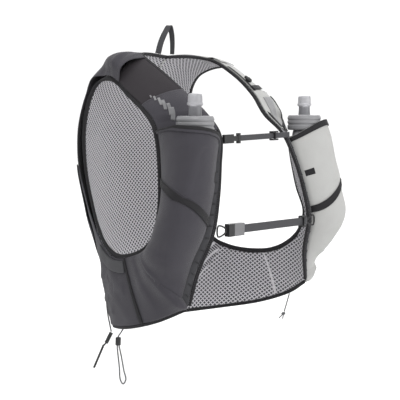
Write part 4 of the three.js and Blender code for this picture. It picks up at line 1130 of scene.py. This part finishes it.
# %% [markdown]
# ## Rigid fittings
# The hooks, sliders, rings and the buckle keep their solids' shapes. A copy of each is merged into one
# skin, its edges get a small bevel so that they catch the light, and it stands for the sharp solid.


# %% Bevelled copies of the fittings
def bevelled(node, finish, width):
    mesh = frame["nodes"][node].data.copy()
    mesh.name = node + "_moulded"
    work = bmesh.new()
    work.from_mesh(mesh)
    bmesh.ops.remove_doubles(work, verts=work.verts, dist=2e-6)
    bmesh.ops.dissolve_limit(work, angle_limit=math.radians(2), verts=work.verts, edges=work.edges)
    sharp = [e for e in work.edges if len(e.link_faces) == 2 and e.calc_face_angle(0) > math.radians(25)]
    bmesh.ops.bevel(work, geom=sharp, offset=width * MM, segments=2, affect="EDGES", clamp_overlap=True)
    work.to_mesh(mesh)
    work.free()
    mesh.polygons.foreach_set("use_smooth", [False] * len(mesh.polygons))
    return put_on(linked(node + "_moulded", mesh), finish, node)


for node in ("upper_hook", "upper_adjuster", "lower_adjuster", "buckle_plug", "drawcord_lock", "pull_tab"):
    bevelled(node, dark_plastic, 0.35)
bevelled("buckle_socket", grey_plastic, 0.35)
for half in SIDES:
    bevelled(f"strap_ring_{half}", dark_plastic, 0.15)
    bevelled(f"flask_body_{half}", flask_film, 0.5)
print("fittings made")

# %% [markdown]
# ## Straps and hang loop
# Each sternum strap is a flat tape that runs straight from the right front edge to the left one. The hang
# loop is the same tape, bent over the nape with a slight twist.

# %% Flat tapes
UPPER_WIDTH, LOWER_WIDTH, LOOP_WIDTH, STRAP_THICKNESS, RING_SPAN = 8.0, 11.5, 9.0, 1.6, 16.0
LOOP_SPREAD, LOOP_HEIGHT, BUCKLE_LENGTH = 26, 42, 21.4 + 33


def strap_line(right, left):
    """Start, direction, upward and outward axes and length of a strap between two stations."""
    begin = surf(-1, right, from_outer(-7.4)(-1, np.array([right])), 2)[0]
    end = surf(1, left, from_outer(-1)(1, np.array([left])), 9.8)[0]
    along = unit(end - begin)
    up = square_to(np.array([0, 0, 1.0]), along)
    face = np.cross(along, up)
    return begin, along, up, face * -np.sign(face[1]), np.linalg.norm(end - begin)


def strap_tape(name, line, start, end, width, ripple, steps=60):
    begin, along, up, face, _ = line
    share = np.linspace(0, 1, steps)
    centres = begin + along * mix(start, end, share)[:, None]
    centres = centres + face * (ripple * np.sin(share * 9.0) * np.sin(share * math.pi))[:, None]
    section = round_section(width, STRAP_THICKNESS, 16, 5)
    made = swept(name + "_tape", centres, np.tile(up, (steps, 1)), np.tile(face, (steps, 1)), section)
    return put_on(made, grey_webbing, name)


upper_line, lower_line = strap_line(4.15, 4.15), strap_line(6.94, 7.05)
upper_run, lower_run = upper_line[4], lower_line[4]
strap_tape("upper_strap", upper_line, 0.225 * upper_run + SEAM_GAP, 0.985 * upper_run, UPPER_WIDTH, 0.15)
strap_tape("lower_strap", lower_line, BUCKLE_LENGTH + SEAM_GAP, lower_run - RING_SPAN - 3, LOWER_WIDTH, 0.2)
nape = outer_point(1, np.array([float(NAPE)]))[0]
loop_foot = nape[2] + 2 * SEAM_GAP + EDGE_TAPE_WIDTH + 2
# Each row: share of the loop's spread, share of its height, and millimetres backwards.
loop_rows = np.array([
    (-0.5, 0, 0), (-0.28, 0.42, -1), (0.06, 0.82, -3), (0.3, 1, -4), (0.52, 0.78, -3), (0.68, 0.4, -1),
    (0.7, 0, 0),
])
loop_across, loop_up, loop_back = loop_rows.T
loop_path = smooth_path(np.stack(
    [loop_across * LOOP_SPREAD, nape[1] + loop_back, loop_foot + loop_up * LOOP_HEIGHT], -1), 10)
loop_along = unit(np.gradient(loop_path, axis=0))
twist = mix(-0.8, 0.1, np.linspace(0, 1, len(loop_path)))
loop_wide = square_to(np.stack([twist, np.ones_like(twist), np.zeros_like(twist)], -1), loop_along)
loop_section = round_section(LOOP_WIDTH, STRAP_THICKNESS, 16, 5)
loop = swept("hang_loop_tape", loop_path, loop_wide, np.cross(loop_wide, loop_along), loop_section)
put_on(loop, grey_webbing, "hang_loop")
print("upper strap spans", round(upper_run), "mm, lower strap", round(lower_run), "mm")

# %% [markdown]
# ## Trims sewn on the cloth
# Narrow tapes and tabs lie on the cloth along lines named in ring positions and shares: the keeper, the
# webbing and a small triangular pocket on the left strap, the tabs and the slot on the flask pockets, and
# six reflective dashes that grow along the right strap's pocket.


# %% Laid tapes
def share_on_pocket(side, a, v):
    return mix(skin_low(side, a), pocket_high(side, a), np.asarray(v, float))


def share_across(side, a, t, high):
    low = skin_low(side, a)
    return (t - low) / (high(side, a) - low)


def raised(side, a, t, height, by_share=False):
    """Points and outward directions of the surface that height raises over the body."""

    def point(a, t):
        t, v = (share_on_pocket(side, a, t), t) if by_share else (t, share_across(side, a, t, pocket_high))
        return surf(side, a, t, height(a, t, v) if callable(height) else np.full_like(a, height))

    along = point(a + 0.02, t) - point(a - 0.02, t)
    inner, outer = np.clip(t - 0.02, 0.001, 0.97), np.clip(t + 0.02, 0.03, 0.999)
    n = unit(np.cross(along, point(a, outer) - point(a, inner)))
    body = surf_normal(side, a, np.clip(share_on_pocket(side, a, t) if by_share else t, 0, 0.999))
    return point(a, t), n * np.sign((n * body).sum(1, keepdims=True))


def laid_tape(name, side, rows, width, thickness, height, finish, power=4.0):
    """A tape along rows of (ring position, share), height over the body given as a function of a, t, v."""
    rows = np.array(rows, float)
    at = np.linspace(0, len(rows) - 1, (len(rows) - 1) * 8 + 1)
    a, t = (np.interp(at, np.arange(len(rows)), rows[:, k]) for k in (0, 1))
    places, ups = raised(side, a, t, height)
    centres = places + ups * thickness / 2
    along = unit(np.gradient(centres, axis=0))
    ups = square_to(ups, along)
    section = round_section(width, thickness, 14, power)
    return put_on(swept(name, centres, np.cross(along, ups), ups, section), finish)


def on_strap_pocket(a, t, v):
    return strap_pocket_rise(a, t, v) + FABRIC_THICKNESS + 0.1


def on_flask_pocket(a, t, v):
    return flask_rise(a, t, v) + POUCH_STEP + 0.3


def on_tab(a, t, v):
    v = share_across(1, a, t, pocket_high)
    return on_flask_pocket(a, t, np.clip(v, 0, 0.9995)) + 0.3


def on_wedge(a, t, v):
    return strap_pocket_rise(a, t, share_across(1, a, t, skin_high)) + FABRIC_THICKNESS + 0.15


# %% [markdown]
# The trims follow, each with its line, its width and its thickness. The tab and the triangular pocket are
# small cloth walls, because they bend with the cloth under them.

# %% Dashes, strips, tabs and the small pocket
DASHES = [
    (1.79, 0.36, 1.90, 0.34, 2.2), (1.89, 0.40, 2.10, 0.36, 3.0), (2.03, 0.44, 2.40, 0.36, 3.8),
    (2.19, 0.46, 2.65, 0.36, 4.6), (2.40, 0.48, 2.95, 0.38, 5.0), (2.60, 0.48, 3.15, 0.38, 6.2),
]
for k, (a0, t0, a1, t1, width) in enumerate(DASHES):
    laid_tape(f"reflective_dash_{k + 1}", -1, [(a0, t0), (a1, t1)], width, 0.3, on_strap_pocket, reflective)
cover_top = SKIN_RISE + FABRIC_THICKNESS + 0.1
zip_rows = [(2.15, 0.30), (2.6, 0.26), (3.0, 0.30), (3.5, 0.55), (3.78, 0.86)]
keeper_rows, slot_rows = [(1.78, 1.0), (1.72, 0.62), (1.62, 0.24)], [(5.75, 0.87), (6.2, 0.89), (6.5, 0.9)]
for name, side, rows, width, thickness, height, finish in (
    ("neck_strip_left", 1, [(0.5, 0.955), (1.9, 0.955)], 7, 0.9, cover_top, dark_webbing),
    ("neck_strip_left_end", 1, [(1.95, 0.955), (3.75, 0.96)], 7, 0.9, on_strap_pocket, dark_webbing),
    ("strap_keeper", 1, keeper_rows, 9, 1.6, cover_top + 0.9, dark_binding),
    ("strap_pocket_zip", 1, zip_rows, 6.5, 1.4, on_strap_pocket, dark_binding),
    ("pocket_tab_right", -1, [(5.33, 0.88), (5.62, 0.88)], 6, 1.2, on_flask_pocket, dark_binding),
    ("pocket_slot_right", -1, slot_rows, 2.4, 0.6, on_flask_pocket, dark_binding),
):
    laid_tape(name, side, rows, width, thickness, height, finish)
TAB_RUN, TAB_LOW, TAB_HIGH = (5.43, 5.63), 0.966, 0.9985
tab = patch(1, between(*TAB_RUN), 10, 30, lambda s, a: share_on_pocket(s, a, TAB_LOW),
            lambda s, a: share_on_pocket(s, a, TAB_HIGH), on_tab)
put_on(cloth_wall("pocket_tab_left", [tab], 1.2), dark_binding)
WEDGE_START, WEDGE_END, WEDGE_LOW, WEDGE_RISE, WEDGE_HIGH = 2.3, 3.7, 0.55, 0.33, 0.9
wedge = patch(1, between(WEDGE_START, WEDGE_END), 24, 16,
              lambda s, a: WEDGE_LOW + WEDGE_RISE * (a - WEDGE_START) / (WEDGE_END - WEDGE_START),
              lambda s, a: np.full_like(a, WEDGE_HIGH), on_wedge)
put_on(cloth_wall("strap_wedge_pocket", [wedge], 0.8), grey_knit)
print("trims made")

# %% [markdown]
# A small cord lock sits on the left strap. It is a moulded block with round edges and a button.


# %% Strap lock
def soft_box(name, centre, axes, size):
    """A moulded block with round edges, on three given axes."""
    work = bmesh.new()
    bmesh.ops.create_cube(work, size=1.0)
    bmesh.ops.bevel(work, geom=list(work.edges), offset=0.18, segments=5, affect="EDGES")
    points = np.array([v.co[:] for v in work.verts]) * size
    faces = [[v.index for v in f.verts] for f in work.faces]
    work.free()
    return put_on(cloth_object(name, points @ axes + centre, faces, points[:, :2]), dark_plastic)


spot = surf(1, 1.42, 0.93, cover_top + 4.4)[0]
up = surf_normal(1, 1.42, 0.93)[0]
along = square_to(surf(1, 1.6, 0.93)[0] - surf(1, 1.3, 0.93)[0], up)
axes = np.stack([np.cross(along, up), along, up])
soft_box("strap_lock", spot, axes, (8, 9, 6))
soft_box("strap_lock_button", spot - along * 6.2, axes, (4.6, 5, 4.4))
print("strap lock at", spot.round(1))

# %% [markdown]
# ## Thread
# Every seam is a row of single stitches. Geometry Nodes lays them: each line of a piece is cut into equal
# steps, a small rounded stitch is set on every step and turned along the line, and all are made real with
# one finish. The same nodes make the bartacks, whose stitches lie so close that they overlap.


# %% Stitches by Geometry Nodes
def stitch_nodes():
    tree = bpy.data.node_groups.new("stitches", "GeometryNodeTree")
    sockets = {}
    tree.interface.new_socket("Geometry", in_out="INPUT", socket_type="NodeSocketGeometry")
    for name, kind in (("Pitch", "Float"), ("Stitch", "Float"), ("Thread", "Float"), ("Finish", "Material")):
        socket = tree.interface.new_socket(name, in_out="INPUT", socket_type="NodeSocket" + kind)
        sockets[name] = socket.identifier
    tree.interface.new_socket("Geometry", in_out="OUTPUT", socket_type="NodeSocketGeometry")

    def add(kind, settings=None, **inputs):
        made = tree.nodes.new(kind)
        for key, value in (settings or {}).items():
            setattr(made, key, value)
        for key, value in inputs.items():
            if isinstance(value, bpy.types.NodeSocket):
                tree.links.new(value, made.inputs[key])
            else:
                made.inputs[key].default_value = value
        return made.outputs

    given = tree.nodes.new("NodeGroupInput").outputs
    lines = add("GeometryNodeMeshToCurve", Mesh=given["Geometry"])
    steps = add("GeometryNodeResampleCurve", {"mode": "LENGTH"}, Curve=lines["Curve"], Length=given["Pitch"])
    bead = add("GeometryNodeMeshUVSphere", Segments=6, Rings=5, Radius=0.5)
    tangent = add("GeometryNodeInputTangent")[0]
    turned_along = add("FunctionNodeAlignRotationToVector", {"axis": "X"}, Vector=tangent)
    size = add("ShaderNodeCombineXYZ", X=given["Stitch"], Y=given["Thread"], Z=given["Thread"])
    laid = add("GeometryNodeInstanceOnPoints", Points=steps["Curve"], Instance=bead["Mesh"],
               Rotation=turned_along["Rotation"], Scale=size[0])
    real = add("GeometryNodeRealizeInstances", Geometry=laid["Instances"])
    smooth = add("GeometryNodeSetShadeSmooth", Geometry=real["Geometry"])
    finished = add("GeometryNodeSetMaterial", Geometry=smooth["Geometry"], Material=given["Finish"])
    tree.links.new(finished["Geometry"], tree.nodes.new("NodeGroupOutput").inputs[0])
    return tree, sockets


STITCHES, STITCH_SOCKETS = stitch_nodes()


def stitched(name, lines, finish, pitch=2.6, stitch=1.9, thread=0.55):
    """Stitches along lines, each an array of points in millimetres."""
    points, edges = [], []
    for line in lines:
        edges += [(len(points) + i, len(points) + i + 1) for i in range(len(line) - 1)]
        points += (np.asarray(line) * MM).tolist()
    mesh = bpy.data.meshes.new(name + "_lines")
    mesh.from_pydata(points, edges, [])
    drawn = linked(name + "_lines", mesh)
    sewing = drawn.modifiers.new("stitches", "NODES")
    sewing.node_group = STITCHES
    values = {"Pitch": pitch * MM, "Stitch": stitch * MM, "Thread": thread * MM, "Finish": finish[0]}
    for key, value in values.items():
        sewing[STITCH_SOCKETS[key]] = value
    sewn = drawn.evaluated_get(bpy.context.evaluated_depsgraph_get())
    real = bpy.data.meshes.new_from_object(sewn)
    bpy.data.objects.remove(drawn)
    return put_on(linked(name, real), finish)


print("stitch inputs:", list(STITCH_SOCKETS))

# %% [markdown]
# Stitches run beside every mouth, band and binding, in a dark thread or, on the light cloth, a pale one.
# Bartacks cross the webbing of the front edges like the rungs of a ladder.


# %% Seam lines
def sewn_line(side, a, t, height, by_share=False, lift=0.12):
    a, t = np.broadcast_arrays(np.asarray(a, float), np.asarray(t, float))
    places, ups = raised(side, a, t, height, by_share)
    return places + ups * lift


def binding_line(stops):
    centres, out, ups = edge_line(stops)
    return centres - out + ups * (BINDING_THICKNESS / 2 - 0.02)


share = np.linspace(0.02, 0.98, 50)
ring = np.linspace(0, COUNT, 260)
for half, side in SIDES.items():
    on_cloth = (pale_thread, "light_fabric") if side > 0 else (dark_thread, "charcoal_fabric")
    pocket_rows = [mouth_at(side, share) + step for step in (0.40, 0.46)]
    pocket_rows += [band_at(share) + step for step in (-0.16, 0.16)]
    rows = [sewn_line(side, row, share, on_flask_pocket, True, -0.15) for row in pocket_rows]
    rows.append(sewn_line(side, SEAM_SIDE + 0.12, mix(0.06, 0.97, share), SKIN_RISE + FABRIC_THICKNESS))
    rows.append(sewn_line(side, 1.97, mix(0.12, 0.95, share), on_strap_pocket))
    stitched(f"pocket_seams_{half}", rows, on_cloth)
    on_ring = sewn_line(side, ring, 0.7 * BINDING_WIDTH / chord(side, ring)[2],
                        (PANEL_THICKNESS + BINDING_THICKNESS) / 2)
    tape = [on_ring, binding_line(stops_from(side, 0.1, FRONT_CORNER - 0.1, 90))]
    stitched(f"binding_seams_{half}", tape, (dark_thread, "binding"), pitch=3.0, stitch=2.1)
    bars = []
    for a in np.arange(4.25, 8.9, 0.32):
        run = chord(side, np.array([a]))[2][0]
        bars.append(sewn_line(side, a, 1 - np.linspace(5.6, 0.9, 6) / run, SKIN_RISE + WEBBING_THICKNESS))
    stitched(f"edge_bartacks_{half}", bars, (black_thread, "webbing"), pitch=0.5, stitch=0.9, thread=1.5)
tape = [binding_line(hem_stops(0.1, 60)), binding_line(NECK_STOPS)]
stitched("hem_seam", tape, (dark_thread, "binding"), 3.0, 2.1)
across_back, across_pocket = mix(0.08, 0.995, share), mix(0.3, 0.995, share)
back_rows = []
for side in SIDES.values():
    for a, t, rise in (
        (YOKE_LOW - 0.05, across_back, shell_rise), (YOKE_LOW + 0.05, across_back, yoke_rise(side)),
        (POCKET_TOP - 0.08, across_pocket, pocket_rise),
    ):
        back_rows.append(sewn_line(side, a, t, lambda a, t, v: rise(a, t) + FABRIC_THICKNESS))
stitched("back_seams", back_rows, (dark_thread, "charcoal_fabric"))
print("thread:", len([o for o in bpy.data.objects if "seam" in o.name]), "pieces")

# %% [markdown]
# Pale tapes cover the seams inside, a bare tag is sewn in at the nape, and a short zigzag of elastic lies
# at each shoulder blade.


# %% Seam tapes inside, tag and side lacing
def on_back(a, t, v):
    return np.maximum(shell_rise(a, t), yoke_rise(-1)(a, t)) + FABRIC_THICKNESS + 0.3


LACING = [(18.02 + 0.12 * k, 0.19 if k % 2 else 0.10) for k in range(7)]
for half, side in SIDES.items():
    for name, seam, wide in (("side", SEAM_SIDE, 0.04), ("strap", SEAM_STRAP, 0.02)):
        inside_tape = patch(side, between(seam - wide, seam + wide), 3, 40, panel_low,
                            lambda s, a: np.full_like(a, 0.985), flat_rise(-0.7))
        put_on(cloth_wall(f"{name}_seam_tape_{half}", [inside_tape], 0.5), pale_tape)
    laid_tape(f"side_lacing_{half}", side, LACING, 2.0, 2.0, on_back, cord_braid, power=2.0)
laid_tape("bare_tag", 1, [(18.80, 0.985), (19.02, 0.975)], 4.5, 0.5, -1.3, light_cloth)
print("inner tapes, tag and lacing made")

# %% [markdown]
# ## Floor and light
# A pale floor lies well below the vest and rises behind it in a soft bend. Large soft lamps stand round,
# as in a studio.

# %% Stage
FLOOR_DROP, FLOOR_NEAR, FLOOR_BACK, FLOOR_HALF_WIDTH, FLOOR_BEND, WALL_HEIGHT = 0.06, -6.0, 3.0, 6.0, 1.2, 5.0
lowest = cad_box[0][2] - FLOOR_DROP
bend = np.linspace(0, math.pi / 2, 13)
floor_rows = [(FLOOR_NEAR, 0.0)]
floor_rows += [(FLOOR_BACK - FLOOR_BEND * (1 - math.sin(b)), FLOOR_BEND * (1 - math.cos(b))) for b in bend]
floor_rows.append((FLOOR_BACK, WALL_HEIGHT))
flat_look = Vector((look.x, look.y, 0)).normalized()
aside = Vector((flat_look.y, -flat_look.x, 0)) * FLOOR_HALF_WIDTH
floor_points = [
    flat_look * d + aside * s + Vector((0, 0, lowest + h)) for d, h in floor_rows for s in (-1, 1)]
floor_faces = [[2 * i, 2 * i + 1, 2 * i + 3, 2 * i + 2] for i in range(len(floor_rows) - 1)]
floor_mesh = bpy.data.meshes.new("floor")
floor_mesh.from_pydata([tuple(p) for p in floor_points], [], floor_faces)
floor_mesh.polygons.foreach_set("use_smooth", [True] * len(floor_mesh.polygons))
paper, make, shader = finish_tree("pale_paper")
make.feed(shader, {"Base Color": (0.93, 0.93, 0.93, 1), "Roughness": 0.9})
floor_mesh.materials.append(paper)
linked("floor", floor_mesh)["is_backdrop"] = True


def lamp(name, place, power, size):
    data = bpy.data.lights.new(name, "AREA")
    data.energy, data.size, data.shape = power, size, "SQUARE"
    made = linked(name, data)
    made.location = place
    made.rotation_euler = (Vector((0, 0, -0.2)) - Vector(place)).to_track_quat("-Z", "Y").to_euler()


lamp("key", (-1.6, -1.6, 1.6), 36, 1.6)
lamp("fill", (0.6, -2.2, 0.4), 22, 1.8)
lamp("top", (0.0, 0.3, 2.2), 26, 1.6)
lamp("rim", (1.6, 1.2, 0.8), 14, 1.2)
world = bpy.data.worlds.new("studio")
bpy.context.scene.world = world
world.use_nodes = True
world.node_tree.nodes["Background"].inputs["Color"].default_value = (1, 1, 1, 1)
world.node_tree.nodes["Background"].inputs["Strength"].default_value = 0.75
bpy.context.scene.view_settings.view_transform = "Standard"
print("stage set")

# %% [markdown]
# ## Knot
# The left corner's cord ends in an overhand knot with two short ends.

# %% Knot
knot_at = np.array(KNOT_CORD[-1]) + (-1.9, 0.2, -2.6)
turn = np.linspace(0, 2 * math.pi, 61)[:-1]
trefoil = np.stack(
    [np.sin(turn) + 2 * np.sin(2 * turn), np.cos(turn) - 2 * np.cos(2 * turn), -1.3 * np.sin(3 * turn)], -1)
section = round_section(CORD_DIAMETER, CORD_DIAMETER, 12)
knot = swept("cord_knot", knot_at + trefoil * 0.85, *frames_along(trefoil, closed=True), section, closed=True)
put_on(knot, cord_braid)
for k, reach in enumerate(np.array([(-4.6, 5.2, -7.4), (-0.6, 1.2, -8.8)])):
    bend = smooth_path([knot_at, knot_at + reach * 0.5 + (0.6, 0, 0), knot_at + reach])
    put_on(cord_tube(f"cord_knot_end_{k + 1}", bend, 1.8), cord_braid)
print("knot at", knot_at.round(1))

for name, (tube, path) in cord_pieces.items():
    _, end, _, riders = CORDS[name]
    float(run_along(path)[-1]) * MM
    [tuple(p) for p in path * MM]
    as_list(riders)
print("cords declared:", len(cord_pieces))

# %% Sizes
shown_box = [list(corner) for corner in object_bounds()]
for title, box in (("CAD box", cad_box), ("shown box", shown_box)):
    print(title, [[round(v, 3) for v in corner] for corner in box])
